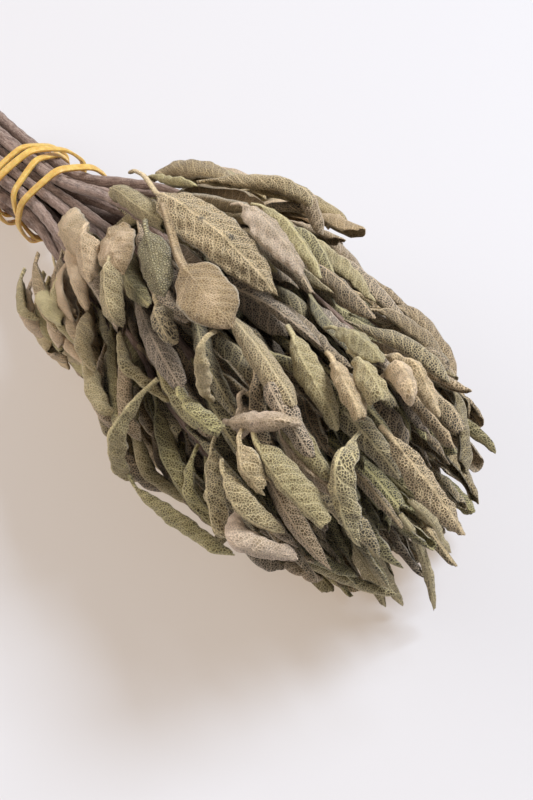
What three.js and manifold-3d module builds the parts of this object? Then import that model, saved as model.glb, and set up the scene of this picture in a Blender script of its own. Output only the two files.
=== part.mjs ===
// A dried sage bunch lying on a table: two dozen sage sprigs with their leaves, some broad outer
// leaves, a few leaves pressed flat underneath, and the rubber band wound round the stems.
// Millimetres, +Z up. The bunch lies along X, with the cut stems at -X and the leaf tips at +X.
// While it is planted, X is measured from the middle of the band and Z from the table.

import * as THREE from 'three';
import Module from 'manifold-3d';
import { mergeVertices } from 'three/addons/utils/BufferGeometryUtils.js';

// ---- driving dimensions ----

const sprigCount = 24;
const buttX = -62; // the cut ends
const tipX = 146; // where the middle stems end
const neckRadius = 12; // centre of the outermost stem at the band
const buttHeight = 15.5; // height of the bundle's middle at the cut ends
const headHeight = 46; // height of the bundle's middle in the head
const flareReach = 78; // how far past the band the stems keep spreading
const flareMost = 3.1; // how many times wider than the neck they spread
const stemRadius = 1.8;
const stemStep = 5; // length of stem to a bead
const ringStep = 4; // beads between one cross-section of a stem's solid and the next
const nodeSpacing = 14.5; // between one pair of leaves and the next
const leafBeads = 10; // beads from the base of a leaf to its tip
const settleRounds = 110;
const clearance = 0.3; // kept between neighbouring pieces
const pressedThickness = 1.2; // of the leaves the bunch rests on
const broadThickness = 0.9; // of the broad outer leaves
const bandWidth = 2.2;
const bandThickness = 1;
const bandTurns = 4;
const bandStack = 1.35; // how much turns that cross over ride up, either way

// Radius of the head at distances past the band.
const headOutline = [
  [-70, 17],
  [4, 18],
  [16, 29],
  [34, 42],
  [60, 49],
  [90, 52],
  [125, 52],
  [152, 48],
  [172, 41],
  [190, 28],
  [205, 12],
];

// ---- small helpers ----

const vec = (x, y, z) => new THREE.Vector3(x, y, z);
const mix = (a, b, t) => a + (b - a) * t;
const clamp = (t) => Math.min(1, Math.max(0, t));
const ease = (t) => clamp(t) * clamp(t) * (3 - 2 * clamp(t));

// A repeatable number from 0 to 1 for a given sprig, leaf and use.
function chance(sprig, leaf, use) {
  const wave = Math.sin(sprig * 12.9898 + leaf * 78.233 + use * 37.719) * 43758.5453;
  return wave - Math.floor(wave);
}

function alongTable(table, x) {
  const last = table.length - 1;
  for (let k = 0; k < last; k++) {
    if (x <= table[k + 1][0]) {
      return mix(table[k][1], table[k + 1][1], clamp((x - table[k][0]) / (table[k + 1][0] - table[k][0])));
    }
  }
  return table[last][1];
}

// ---- planting the sprigs ----

const middleHeight = (x) => mix(buttHeight, headHeight, ease((x - buttX) / 150));
const flare = (x) => (x < 0 ? 1 + 0.2 * (x / buttX) ** 2 : 1 + (flareMost - 1) * ease(x / flareReach));

// Where sprig i's stem passes at distance x: the stems fill the neck in a sunflower pattern.
function stemPoint(sprig, x) {
  const share = Math.sqrt((sprig + 0.5) / sprigCount);
  const turn = sprig * 2.39996 + 0.3 * (x / 100);
  const out = share * neckRadius * flare(x);
  const stray = ease(x / 60) * 6;
  return vec(
    x,
    out * Math.cos(turn) + stray * (chance(sprig, 0, 1) - 0.5),
    middleHeight(x) + out * Math.sin(turn) + stray * (chance(sprig, 0, 2) - 0.5),
  );
}

const stemEnd = (sprig) => tipX - 16 * ((sprig + 0.5) / sprigCount) + 16 * (chance(sprig, 0, 3) - 0.5);
const stemStart = (sprig) => buttX + 9 * chance(sprig, 0, 4);
const stemThickness = (x) => stemRadius * mix(1, 0.5, ease((x + 20) / 170));

function plantStem(sprig) {
  const from = stemStart(sprig);
  const to = stemEnd(sprig);
  const count = Math.round((to - from) / stemStep) + 1;
  const points = [];
  const radii = [];
  for (let k = 0; k < count; k++) {
    const x = mix(from, to, k / (count - 1));
    points.push(stemPoint(sprig, x));
    radii.push(stemThickness(x));
  }
  return { kind: 'stem', points, radii, sprig, slack: 1 };
}

// One leaf, from its node on the stem: a short stalk, then the blade, sweeping forward.
function plantLeaf(stem, number, rootBead, around, size, opening) {
  const { sprig } = stem;
  const root = stem.points[rootBead];
  const along = stem.points[Math.min(rootBead + 1, stem.points.length - 1)]
    .clone()
    .sub(stem.points[rootBead - 1])
    .normalize();
  const outward = vec(0, root.y, root.z - middleHeight(root.x));
  outward.addScaledVector(along, -outward.dot(along)).normalize();
  const side = along.clone().cross(outward);
  const spread = outward.multiplyScalar(Math.cos(around)).addScaledVector(side, Math.sin(around));
  const stalk = size * mix(5, 10, chance(sprig, number, 5));
  const blade = size * mix(32, 46, chance(sprig, number, 6));
  const roll = size * mix(2.9, 4.3, chance(sprig, number, 7));
  const step = (stalk + blade) / (leafBeads - 1);
  const points = [root.clone()];
  const radii = [0.7];
  for (let k = 1; k < leafBeads; k++) {
    const share = k / (leafBeads - 1);
    const angle = opening * (1 - share) ** 1.4 + 0.25 * (chance(sprig, number, 8) - 0.4) * share;
    const heading = along.clone().multiplyScalar(Math.cos(angle)).addScaledVector(spread, Math.sin(angle));
    points.push(points[k - 1].clone().addScaledVector(heading, step));
    const blossom = (share * (stalk + blade) - stalk) / blade;
    const swell = Math.sin(Math.PI * Math.min(0.95, Math.max(0, blossom))) ** 0.45;
    radii.push(blossom <= 0 ? 0.8 : Math.max(1.2, roll * swell));
  }
  const droop = mix(0.12, 0.4, ease((root.x - 90) / 50));
  const slack = mix(0.94, 1.1, chance(sprig, number, 9));
  return { kind: 'leaf', sprig, number, stem, points, radii, step, rootBead, slack, droop };
}

function plantSprig(sprig) {
  const stem = plantStem(sprig);
  const leaves = [];
  const share = Math.sqrt((sprig + 0.5) / sprigCount);
  // Along the top of the bunch the stems are bare for longer.
  const slumped = 28 * share * Math.max(0, Math.cos(2.39996 * sprig - 1.85)) ** 4;
  const first = mix(50, 13, share) + slumped + 7 * chance(sprig, 0, 10);
  const last = stemEnd(sprig);
  let number = 0;
  const addLeaf = (x, around, size, opening) => {
    number += 1;
    const bead = Math.round((x - stemStart(sprig)) / stemStep);
    // Leaves that would face the crowded middle of the bunch have mostly been stripped.
    const inward = Math.cos(around) < -0.3 && x < last - 25;
    if (inward && chance(sprig, number, 11) < mix(0.3, 0.8, share)) return;
    const safeBead = Math.min(Math.max(bead, 1), stem.points.length - 1);
    leaves.push(plantLeaf(stem, number, safeBead, around, size, opening));
  };
  let turn = Math.PI * chance(sprig, 0, 12);
  for (let x = first; x < last - 6; x += nodeSpacing) {
    const size = mix(0.72, 1, ease(x / 30)) * mix(1, 0.8, ease((x - 70) / 80));
    const opening = mix(1.25, 0.85, ease(x / 60));
    addLeaf(x, turn, size, opening + mix(-0.2, 0.2, chance(sprig, number, 13)));
    addLeaf(x, turn + Math.PI, size, opening + mix(-0.2, 0.2, chance(sprig, number, 14)));
    turn += Math.PI / 2 + 0.5 * (chance(sprig, number, 15) - 0.5);
  }
  for (let k = 0; k < 4; k++) {
    const size = mix(0.55, 0.85, chance(sprig, k, 16));
    addLeaf(last - 3, turn + (k * Math.PI) / 2, size, mix(0.5, 1.1, chance(sprig, k, 18)));
  }
  return { stem, leaves };
}

// ---- settling: stems and leaves as strings of beads that push each other apart ----

function settle(chains) {
  const beads = [];
  for (const chain of chains) {
    chain.start = beads.length;
    chain.points.forEach((p, k) => beads.push({ p, rest: p.clone(), r: chain.radii[k], chain, k }));
  }
  const count = beads.length;
  const pinned = (b) => b.chain.kind === 'stem' && b.rest.x < 10;
  const weight = beads.map((b) => (pinned(b) ? 0 : b.chain.kind === 'stem' ? 0.25 : 1));
  const nearRoot = (b) => b.chain.kind === 'leaf' && b.k <= 1;
  let pairs = [];

  const findPairs = () => {
    pairs = [];
    for (let i = 0; i < count; i++) {
      const a = beads[i];
      for (let j = i + 1; j < count; j++) {
        const b = beads[j];
        const reach = a.r + b.r + 3;
        const dx = a.p.x - b.p.x;
        if (dx > reach || dx < -reach || a.chain === b.chain) continue;
        if (a.chain.sprig === b.chain.sprig && (nearRoot(a) || nearRoot(b))) continue;
        if (a.p.distanceToSquared(b.p) < reach * reach) pairs.push([i, j]);
      }
    }
  };

  const pushApart = () => {
    const push = beads.map(() => vec(0, 0, 0));
    const touches = new Array(count).fill(0);
    const between = vec(0, 0, 0);
    for (const [i, j] of pairs) {
      between.subVectors(beads[j].p, beads[i].p);
      const distance = Math.max(between.length(), 1e-6);
      const overlap = beads[i].r + beads[j].r - distance;
      const total = weight[i] + weight[j];
      if (overlap <= 0 || total === 0) continue;
      push[i].addScaledVector(between, (-overlap * weight[i]) / total / distance);
      push[j].addScaledVector(between, (overlap * weight[j]) / total / distance);
      touches[i] += 1;
      touches[j] += 1;
    }
    beads.forEach((b, i) => b.p.addScaledVector(push[i], 1.6 / Math.max(1.6, touches[i])));
  };

  const holdShape = (b, i, chain) => {
    if (weight[i] === 0) return;
    const wanted = b.rest.clone();
    if (chain.kind === 'leaf') wanted.add(chain.points[0]).sub(beads[chain.start].rest);
    b.p.lerp(wanted, chain.kind === 'stem' ? 0.08 : 0.03);
    if (chain.kind === 'leaf') b.p.z -= (chain.droop * b.k) / (leafBeads - 1);
  };

  const stayInside = (b) => {
    const middle = middleHeight(b.p.x);
    const out = Math.hypot(b.p.y, b.p.z - middle);
    const room = alongTable(headOutline, b.p.x) * b.chain.slack - b.r;
    if (out > room) {
      const scale = 1 - 0.5 * (1 - room / out);
      b.p.y *= scale;
      b.p.z = middle + (b.p.z - middle) * scale;
    }
    b.p.z = Math.max(b.p.z, b.r + pressedThickness + clearance);
  };

  // Leaves stay on their stems and keep their length, and bends are eased out.
  const keepLength = (chain) => {
    const { points } = chain;
    points[0].copy(chain.stem.points[chain.rootBead]);
    for (let k = 1; k < points.length - 1; k++) {
      const middle = points[k - 1].clone().add(points[k + 1]).multiplyScalar(0.5);
      points[k].lerp(middle, 0.2);
    }
    for (let k = 1; k < points.length; k++) {
      const heading = points[k].clone().sub(points[k - 1]).normalize();
      points[k].copy(points[k - 1]).addScaledVector(heading, chain.step);
    }
  };

  for (let round = 0; round < settleRounds; round++) {
    if (round % 10 === 0) findPairs();
    pushApart();
    beads.forEach((b, i) => holdShape(b, i, b.chain));
    beads.forEach((b, i) => weight[i] && stayInside(b));
    chains.filter((c) => c.kind === 'leaf').forEach(keepLength);
  }
}

// ---- solids ----

const wasm = await Module();
wasm.setup();

// A closed solid from rings of points, each with the same number, and a point at either end.
function loft(startPoint, rings, endPoint) {
  const size = rings[0].length;
  const points = [startPoint, ...rings.flat(), endPoint];
  const faces = [];
  const at = (ring, k) => 1 + ring * size + (k % size);
  for (let k = 0; k < size; k++) {
    faces.push(0, at(0, k), at(0, k + 1));
    faces.push(points.length - 1, at(rings.length - 1, k + 1), at(rings.length - 1, k));
    for (let ring = 0; ring < rings.length - 1; ring++) {
      faces.push(at(ring, k), at(ring + 1, k + 1), at(ring, k + 1));
      faces.push(at(ring, k), at(ring + 1, k), at(ring + 1, k + 1));
    }
  }
  return new THREE.BufferGeometry().setFromPoints(points).setIndex(faces);
}

// A closed ring-shaped solid: the last ring joins the first.
function loopLoft(rings) {
  const size = rings[0].length;
  const at = (ring, k) => (ring % rings.length) * size + (k % size);
  const faces = [];
  rings.forEach((_, ring) => {
    for (let k = 0; k < size; k++) {
      faces.push(at(ring, k), at(ring + 1, k + 1), at(ring, k + 1));
      faces.push(at(ring, k), at(ring + 1, k), at(ring + 1, k + 1));
    }
  });
  return new THREE.BufferGeometry().setFromPoints(rings.flat()).setIndex(faces);
}

function toSolid(geometry) {
  const merged = mergeVertices(geometry, 1e-4);
  const vertProperties = merged.attributes.position.array;
  const triVerts = new Uint32Array(merged.index.array);
  return new wasm.Manifold(new wasm.Mesh({ numProp: 3, vertProperties, triVerts }));
}

function toGeometry(solid) {
  const { vertProperties, triVerts } = solid.getMesh();
  const geometry = new THREE.BufferGeometry();
  geometry.setAttribute('position', new THREE.BufferAttribute(new Float32Array(vertProperties), 3));
  geometry.setIndex(new THREE.BufferAttribute(new Uint32Array(triVerts), 1));
  return geometry;
}

const section = (centre, across, up, corners) =>
  corners.map(([a, u]) => centre.clone().addScaledVector(across, a).addScaledVector(up, u));

// The beads at which a stem's solid has its cross-sections.
function ringBeads(stem) {
  const last = stem.points.length - 1;
  const spans = Math.round(last / ringStep);
  return Array.from({ length: spans + 1 }, (_, k) => Math.round((k * last) / spans));
}

// Square sage stem through its settled beads.
function stemSolid(stem, grow) {
  const beads = ringBeads(stem);
  const last = beads.length - 1;
  const headings = beads.map((bead, k) => {
    const before = stem.points[beads[Math.max(0, k - 1)]];
    const after = stem.points[beads[Math.min(last, k + 1)]];
    return after.clone().sub(before).normalize();
  });
  const rings = beads.map((bead, k) => {
    const across = headings[k].clone().cross(vec(0, 0, 1)).normalize();
    const up = across.clone().cross(headings[k]);
    const r = stem.radii[bead] + grow;
    return section(stem.points[bead], across, up, [[r, 0], [0, r], [-r, 0], [0, -r]]);
  });
  const start = stem.points[0].clone().addScaledVector(headings[0], -grow);
  const end = stem.points[beads[last]].clone().addScaledVector(headings[last], 0.6 + grow);
  return toSolid(loft(start, rings, end));
}

// The point inside the stem's solid that a leaf grows from.
function leafRoot(leaf) {
  const beads = ringBeads(leaf.stem);
  const k = Math.max(1, beads.findIndex((bead) => bead >= leaf.rootBead));
  const from = leaf.stem.points[beads[k - 1]];
  const to = leaf.stem.points[beads[k]];
  return from.clone().lerp(to, (leaf.rootBead - beads[k - 1]) / (beads[k] - beads[k - 1]));
}

// Which way a leaf's back faces: outward from the bunch, rolled a little.
function leafBack(points, rollBy) {
  const middle = points[Math.floor(points.length * 0.6)];
  const along = points[points.length - 1].clone().sub(points[0]).normalize();
  const outward = vec(0, middle.y, middle.z - middleHeight(middle.x));
  outward.addScaledVector(along, -outward.dot(along)).normalize();
  return outward.applyAxisAngle(along, rollBy);
}

// How wide a folded leaf is along its length: its stalk in millimetres, then shares of its widest.
const foldedProfile = [
  [0.2, 0.8],
  [0.4, 0.8],
  [0.7, 0.85],
  [0.93, 0.5],
];

// A blade folded along its midrib: a three-cornered bar with its keel on the back.
function leafSolid(leaf, grow) {
  const curve = new THREE.CatmullRomCurve3(leaf.points);
  const back = leafBack(leaf.points, 1.8 * (chance(leaf.sprig, leaf.number, 17) - 0.5));
  const widest = Math.max(...leaf.radii);
  const rings = foldedProfile.map(([t, share]) => {
    const half = t < 0.3 ? share : share * widest;
    const along = curve.getTangent(t);
    const across = along.clone().cross(back).normalize();
    const up = across.clone().cross(along);
    const wide = half + 1.7 * grow;
    const low = -0.4 * half - grow;
    return section(curve.getPoint(t), across, up, [[wide, low], [0, 0.64 * half + 1.7 * grow], [-wide, low]]);
  });
  const tip = curve.getPoint(1).addScaledVector(curve.getTangent(1), grow);
  return toSolid(loft(leafRoot(leaf), rings, tip));
}

// ---- the rubber band ----

const bandSpot = (t) => -13 + 5.5 * (1 + Math.cos(t)) ** 2 + 3 * Math.sin(t);

// The stems' centres where they pass distance x.
function stemsAt(stems, x) {
  return stems.map(({ points, radii }) => {
    const k = Math.max(1, points.findIndex((p) => p.x > x));
    const share = (x - points[k - 1].x) / (points[k].x - points[k - 1].x);
    return { centre: points[k - 1].clone().lerp(points[k], share), r: radii[k] };
  });
}

// How far from the middle a band stretched round the stems passes, in direction turn.
function stretchedRadius(circles, turn, middle) {
  let least = Infinity;
  for (let lean = -1.2; lean <= 1.2; lean += 0.1) {
    const cos = Math.cos(turn + lean);
    const sin = Math.sin(turn + lean);
    const most = Math.max(...circles.map(({ centre, r }) => centre.y * cos + (centre.z - middle) * sin + r));
    least = Math.min(least, most / Math.cos(lean));
  }
  return least;
}

function bandSolid(stems, grow) {
  const steps = bandTurns * 28;
  const middlePath = Array.from({ length: steps }, (_, k) => {
    const t = (2 * Math.PI * k) / steps;
    const x = bandSpot(t);
    const turn = bandTurns * t;
    const middle = middleHeight(x);
    const ride = bandStack * (1 + Math.sin(t)) + bandThickness / 2 + clearance;
    const out = stretchedRadius(stemsAt(stems, x), turn, middle) + ride;
    return vec(x, out * Math.cos(turn), middle + out * Math.sin(turn));
  });
  const rings = middlePath.map((p, k) => {
    const next = middlePath[(k + 1) % steps];
    const before = middlePath[(k + steps - 1) % steps];
    const along = next.clone().sub(before).normalize();
    const outward = vec(0, p.y, p.z - middleHeight(p.x)).normalize();
    const across = along.clone().cross(outward).normalize();
    const up = across.clone().cross(along);
    const w = bandWidth / 2 + grow;
    const h = bandThickness / 2 + grow;
    return section(p, across, up, [[w, -h], [w, h], [-w, h], [-w, -h]]);
  });
  return toSolid(loopLoft(rings));
}

// ---- broad outer leaves, each lying on whatever is under it ----

// at is the base and to the tip: distance past the band, and degrees round the bunch from +Y over the top.
const broadLeaves = [
  { name: 'grey_leaf', at: [86, 87], to: [116, 90], width: 12 },
  { name: 'veined_leaf', at: [76, 101], to: [120, 99], width: 16 },
  { name: 'brown_leaf', at: [96, 124], to: [111, 130], width: 7 },
  { name: 'pebbled_leaf', at: [80, 110], to: [103, 123], width: 12 },
  { name: 'round_leaf', at: [98, 112], to: [125, 115], width: 18 },
  { name: 'wrinkled_leaf', at: [64, 118], to: [83, 125], width: 13 },
  { name: 'side_leaf', at: [77, 124], to: [92, 141], width: 12 },
  { name: 'far_leaf', at: [60, 123], to: [72, 139], width: 10 },
  { name: 'folded_leaf', at: [110, 146], to: [112, 192], width: 10 },
  { name: 'ragged_leaf', at: [160, 108], to: [180, 146], width: 10 },
  { name: 'front_leaf', at: [162, 99], to: [192, 99], width: 10 },
  { name: 'pointed_leaf', at: [129, 130], to: [139, 142], width: 7 },
  { name: 'cross_leaf', at: [131, 143], to: [153, 121], width: 5 },
  { name: 'crescent_leaf', at: [122, 119], to: [127, 139], width: 5 },
  { name: 'hooked_leaf', at: [125, 98], to: [155, 113], width: 9 },
  { name: 'rolled_leaf', at: [138, 94], to: [162, 107], width: 8 },
  { name: 'pair_leaf', at: [142, 88], to: [163, 98], width: 8 },
  { name: 'high_leaf', at: [150, 81], to: [168, 91], width: 8 },
  { name: 'rough_leaf', at: [130, 84], to: [154, 87], width: 10 },
  { name: 'edge_leaf', at: [143, 74], to: [168, 73], width: 8 },
  { name: 'long_leaf', at: [144, 134], to: [174, 141], width: 10 },
  { name: 'torn_leaf', at: [141, 136], to: [158, 145], width: 9 },
  { name: 'bent_leaf', at: [143, 146], to: [166, 153], width: 8 },
  { name: 'curled_leaf', at: [148, 160], to: [172, 156], width: 9 },
  { name: 'low_leaf', at: [130, 152], to: [154, 168], width: 9 },
  { name: 'rim_leaf', at: [114, 182], to: [152, 182], width: 9 },
  { name: 'tube_leaf', at: [118, 142], to: [136, 142], width: 6 },
  { name: 'upper_leaf', at: [90, 76], to: [120, 77], width: 10 },
  { name: 'back_leaf', at: [84, 40], to: [122, 34], width: 14 },
  { name: 'near_leaf', at: [38, 170], to: [68, 163], width: 10 },
];

// How far from the bunch's middle line a leaf must be to clear what is at a place.
function supportAt(beads, x, turn) {
  let most = 0;
  for (const { p, r } of beads) {
    if (Math.abs(p.x - x) > r + 3) continue;
    const rise = p.z - middleHeight(p.x);
    const lean = Math.atan2(rise, p.y) - turn;
    const out = Math.hypot(p.y, rise);
    if (Math.cos(lean) > 0 && out * Math.abs(Math.sin(lean)) < r + 3) most = Math.max(most, out + r);
  }
  return most;
}

const steepest = 2.5; // most that a broad leaf bends inward from one point of its midrib to the next
const tuck = 2; // how far its base goes down between the leaves beneath

// The midrib of a broad leaf, stretched taut over the beads beneath it.
function restingMidrib(beads, { at, to }) {
  const last = 8;
  const spots = Array.from({ length: last + 1 }, (_, k) => ({
    x: mix(at[0], to[0], k / last),
    turn: (mix(at[1], to[1], k / last) * Math.PI) / 180,
  }));
  const out = spots.map(({ x, turn }) => supportAt(beads, x, turn) + broadThickness);
  for (let k = 1; k <= last; k++) out[k] = Math.max(out[k], out[k - 1] - steepest);
  for (let k = last - 1; k >= 0; k--) out[k] = Math.max(out[k], out[k + 1] - steepest);
  for (let round = 0; round < 12; round++) {
    for (let k = 1; k < last; k++) out[k] = Math.max(out[k], (out[k - 1] + out[k + 1]) / 2);
  }
  out[0] -= tuck;
  return spots.map(({ x, turn }, k) => {
    const rise = out[k] * Math.sin(turn);
    return vec(x, out[k] * Math.cos(turn), middleHeight(x) + rise);
  });
}

// How wide a broad leaf is along its length, as shares of its widest.
const broadProfile = [
  [0.1, 0.12],
  [0.3, 0.8],
  [0.5, 1],
  [0.72, 0.85],
  [0.9, 0.45],
];

function broadSolid(midrib, width, grow) {
  const curve = new THREE.CatmullRomCurve3(midrib);
  const rings = broadProfile.map(([t, share]) => {
    const p = curve.getPoint(t);
    const along = curve.getTangent(t);
    const outward = vec(0, p.y, p.z - middleHeight(p.x));
    const across = along.clone().cross(outward).normalize();
    const up = across.clone().cross(along);
    const half = (share * width) / 2;
    const sag = -0.12 * half;
    const h = broadThickness / 2 + grow;
    const wide = half + 2 * grow;
    const low = sag - grow / 2;
    return section(p, across, up, [[wide, low], [0, h], [-wide, low], [0, -h]]);
  });
  const startGap = curve.getTangent(0).multiplyScalar(grow);
  const endGap = curve.getTangent(1).multiplyScalar(grow);
  return toSolid(loft(curve.getPoint(0).sub(startGap), rings, curve.getPoint(1).add(endGap)));
}

// ---- leaves pressed flat under the bunch, which it rests on ----

const pressedLeaves = [
  { x: 52, y: -14, heading: -12, length: 40, width: 15 },
  { x: 56, y: 13, heading: 9, length: 42, width: 14 },
  { x: 98, y: -20, heading: 6, length: 38, width: 16 },
  { x: 102, y: 3, heading: -8, length: 40, width: 15 },
  { x: 100, y: 23, heading: 4, length: 36, width: 14 },
];

// Outline of a leaf as shares of its length and half width.
const leafOutline = [[0, 0.1], [0.2, 0.7], [0.45, 1], [0.7, 0.85], [0.9, 0.45], [1, 0]];

function pressedSolid({ x, y, heading, length, width }, grow) {
  const turn = (heading * Math.PI) / 180;
  const place = (a, b, z) => {
    const across = a * Math.sin(turn) + b * Math.cos(turn);
    return vec(x + a * Math.cos(turn) - b * Math.sin(turn), y + across, z);
  };
  const rim = (z, inset) => {
    const edge = (sign) => ([a, b]) => place(a * (length - inset), (sign * b * (width - inset)) / 2, z);
    return [...leafOutline.map(edge(1)), ...leafOutline.slice(0, -1).reverse().map(edge(-1))];
  };
  const top = pressedThickness + grow;
  const rings = [rim(-grow, -2 * grow), rim(top, 1 - 2 * grow)];
  return toSolid(loft(place(length / 2, 0, -grow), rings, place(length / 2, 0, top)));
}

// ---- the assembly ----

const leafColors = [0x8c8567, 0x8f8468, 0x959078, 0x84795a, 0xa09a86];
const pressedColor = 0x6b6650;
const bandColor = 0xd6b25a;

const group = new THREE.Group();

function addPart(name, solid, color, roughness) {
  const material = new THREE.MeshStandardMaterial({ color, roughness, metalness: 0 });
  const mesh = new THREE.Mesh(toGeometry(solid), material);
  mesh.name = name;
  group.add(mesh);
}

// What is left of a solid after the fat copies of its neighbours are cut away.
function carve(solid, neighbours) {
  const cut = neighbours.reduce((rest, other) => rest.subtract(other), solid);
  return cut.decompose().sort((p, q) => q.volume() - p.volume())[0];
}

const sprigs = Array.from({ length: sprigCount }, (_, i) => plantSprig(i));
const stems = sprigs.map(({ stem }) => stem);
const chains = sprigs.flatMap(({ stem, leaves }) => [stem, ...leaves]);
settle(chains);

// The broad leaves go on from the lowest to the uppermost, each resting on the ones before.
const beads = chains.flatMap(({ points, radii }) => points.map((p, k) => ({ p, r: radii[k] })));
const taken = [];
broadLeaves.forEach((leaf, i) => {
  const midrib = restingMidrib(beads, leaf);
  const solid = carve(broadSolid(midrib, leaf.width, 0), taken);
  addPart(leaf.name, solid, leafColors[i % leafColors.length], 0.95);
  taken.push(broadSolid(midrib, leaf.width, clearance));
  midrib.forEach((p) => {
    const outward = vec(0, p.y, p.z - middleHeight(p.x)).normalize();
    const side = outward.clone().cross(vec(1, 0, 0));
    for (const share of [-0.35, 0, 0.35]) {
      beads.push({ p: p.clone().addScaledVector(side, share * leaf.width), r: broadThickness });
    }
  });
});

pressedLeaves.forEach((leaf, i) => {
  addPart(`pressed_leaf_${i + 1}`, pressedSolid(leaf, 0), pressedColor, 0.95);
  taken.push(pressedSolid(leaf, clearance));
});

addPart('rubber_band', bandSolid(stems, 0), bandColor, 0.5);
taken.push(bandSolid(stems, clearance));

// Stems come before leaves: a leaf gives way to every stem but its own, and to the leaves of earlier sprigs.
const fatStems = stems.map((stem) => stemSolid(stem, clearance));
const ownStems = stems.map((stem, i) => carve(stemSolid(stem, 0), [...taken, ...fatStems.slice(0, i)]));
sprigs.forEach(({ leaves }, i) => {
  const otherStems = fatStems.filter((_, other) => other !== i);
  const foliage = wasm.Manifold.union(leaves.map((leaf) => leafSolid(leaf, 0)));
  const trimmed = [...taken, ...otherStems].reduce((rest, other) => rest.subtract(other), foliage);
  taken.push(wasm.Manifold.union(leaves.map((leaf) => leafSolid(leaf, clearance))));
  const name = `sprig_${String(i + 1).padStart(2, '0')}`;
  addPart(name, carve(ownStems[i].add(trimmed), []), leafColors[(i * 3) % leafColors.length], 0.95);
});

// The finished bunch is measured from the middle of its footprint.
const box = new THREE.Box3().setFromObject(group);
const footprint = box.getCenter(vec(0, 0, 0)).setZ(box.min.z);
group.children.forEach((mesh) => mesh.geometry.translate(-footprint.x, -footprint.y, -footprint.z));

export default group;
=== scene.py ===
import math
import bpy
import numpy as np
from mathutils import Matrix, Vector
from mathutils.kdtree import KDTree


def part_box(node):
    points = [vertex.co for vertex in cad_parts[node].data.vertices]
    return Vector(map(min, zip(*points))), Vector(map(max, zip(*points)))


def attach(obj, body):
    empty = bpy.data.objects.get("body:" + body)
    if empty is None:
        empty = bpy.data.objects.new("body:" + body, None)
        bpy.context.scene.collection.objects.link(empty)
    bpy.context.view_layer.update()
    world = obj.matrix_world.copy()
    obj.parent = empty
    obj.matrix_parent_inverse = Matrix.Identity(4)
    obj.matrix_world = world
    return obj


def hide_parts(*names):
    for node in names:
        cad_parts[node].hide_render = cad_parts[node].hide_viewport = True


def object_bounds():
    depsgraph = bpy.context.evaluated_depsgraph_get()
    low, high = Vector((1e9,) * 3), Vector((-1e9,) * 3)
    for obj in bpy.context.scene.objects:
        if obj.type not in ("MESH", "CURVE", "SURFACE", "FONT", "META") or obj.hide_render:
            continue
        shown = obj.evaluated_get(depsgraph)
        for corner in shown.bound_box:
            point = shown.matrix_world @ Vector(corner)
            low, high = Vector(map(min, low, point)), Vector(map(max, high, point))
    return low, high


# A dried sage bunch lying on a pale table: sprigs with curled leaves, broad outer leaves,
# a few leaves pressed flat underneath, and the rubber band round the stems.
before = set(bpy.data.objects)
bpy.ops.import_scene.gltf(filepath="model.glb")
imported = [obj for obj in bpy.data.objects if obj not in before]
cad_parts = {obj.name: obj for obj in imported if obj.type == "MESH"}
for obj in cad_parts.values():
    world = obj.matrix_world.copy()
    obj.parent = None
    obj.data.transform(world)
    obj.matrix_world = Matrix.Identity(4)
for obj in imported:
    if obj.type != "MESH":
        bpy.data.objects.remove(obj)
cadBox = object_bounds()
scene = bpy.context.scene
mm = 0.001
goldenTurn = 2.39996

# the bunch is laid out in millimetres past the band and above the table
layout = {
    "sprigCount": 24,
    "buttX": -62,  # the cut ends
    "tipX": 146,  # where the middle stems end
    "neckRadius": 12,
    "buttHeight": 15.5,
    "headHeight": 46,
    "riseLength": 150,
    "flareReach": 78,
    "flareMost": 3.1,
    "stemRadius": 1.8,
    "stemStep": 5,
    "nodeSpacing": 14.5,
    "leafBeads": 10,
    "settleRounds": 110,
    "clearance": 0.3,
    "pressedThickness": 1.2,
    "broadThickness": 0.9,
    "outlineX": [-70, 4, 16, 34, 60, 90, 125, 152, 172, 190, 205],
    "outlineRadius": [17, 18, 29, 42, 49, 52, 52, 48, 41, 28, 12],
}


def mix(a, b, t):
    return a + (b - a) * t


def ease(t):
    t = min(1.0, max(0.0, t))
    return t * t * (3 - 2 * t)


def easeAll(t):
    t = np.clip(t, 0, 1)
    return t * t * (3 - 2 * t)


def chance(sprig, leaf, use):  # a repeatable number from 0 to 1
    wave = math.sin(sprig * 12.9898 + leaf * 78.233 + use * 37.719) * 43758.5453
    return wave - math.floor(wave)


def between(low, high, *key):
    return mix(low, high, chance(*key))


def unit(v):
    return v / np.maximum(np.linalg.norm(v, axis=-1, keepdims=True), 1e-9)


def middleHeight(x):
    t = (np.asarray(x, float) - layout["buttX"]) / layout["riseLength"]
    return mix(layout["buttHeight"], layout["headHeight"], easeAll(t))


def aroundBunch(p):  # how far out each spot is, and in which direction in radians
    rise = p[..., 2] - middleHeight(p[..., 0])
    return np.hypot(p[..., 1], rise), np.arctan2(rise, p[..., 1])


def flare(x):
    if x < 0:
        return 1 + 0.2 * (x / layout["buttX"]) ** 2
    return 1 + (layout["flareMost"] - 1) * ease(x / layout["flareReach"])


def stemShare(sprig):
    return math.sqrt((sprig + 0.5) / layout["sprigCount"])


def stemPoint(sprig, x):
    turn = sprig * goldenTurn + 0.3 * (x / 100)
    out = stemShare(sprig) * layout["neckRadius"] * flare(x)
    stray = ease(x / 60) * 6
    y = out * math.cos(turn) + stray * (chance(sprig, 0, 1) - 0.5)
    z = float(middleHeight(x)) + out * math.sin(turn) + stray * (chance(sprig, 0, 2) - 0.5)
    return np.array([x, y, z])


def stemEnd(sprig):
    return layout["tipX"] - 16 * ((sprig + 0.5) / layout["sprigCount"]) + 16 * (chance(sprig, 0, 3) - 0.5)


def stemStart(sprig):
    return layout["buttX"] + 9 * chance(sprig, 0, 4)


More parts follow.
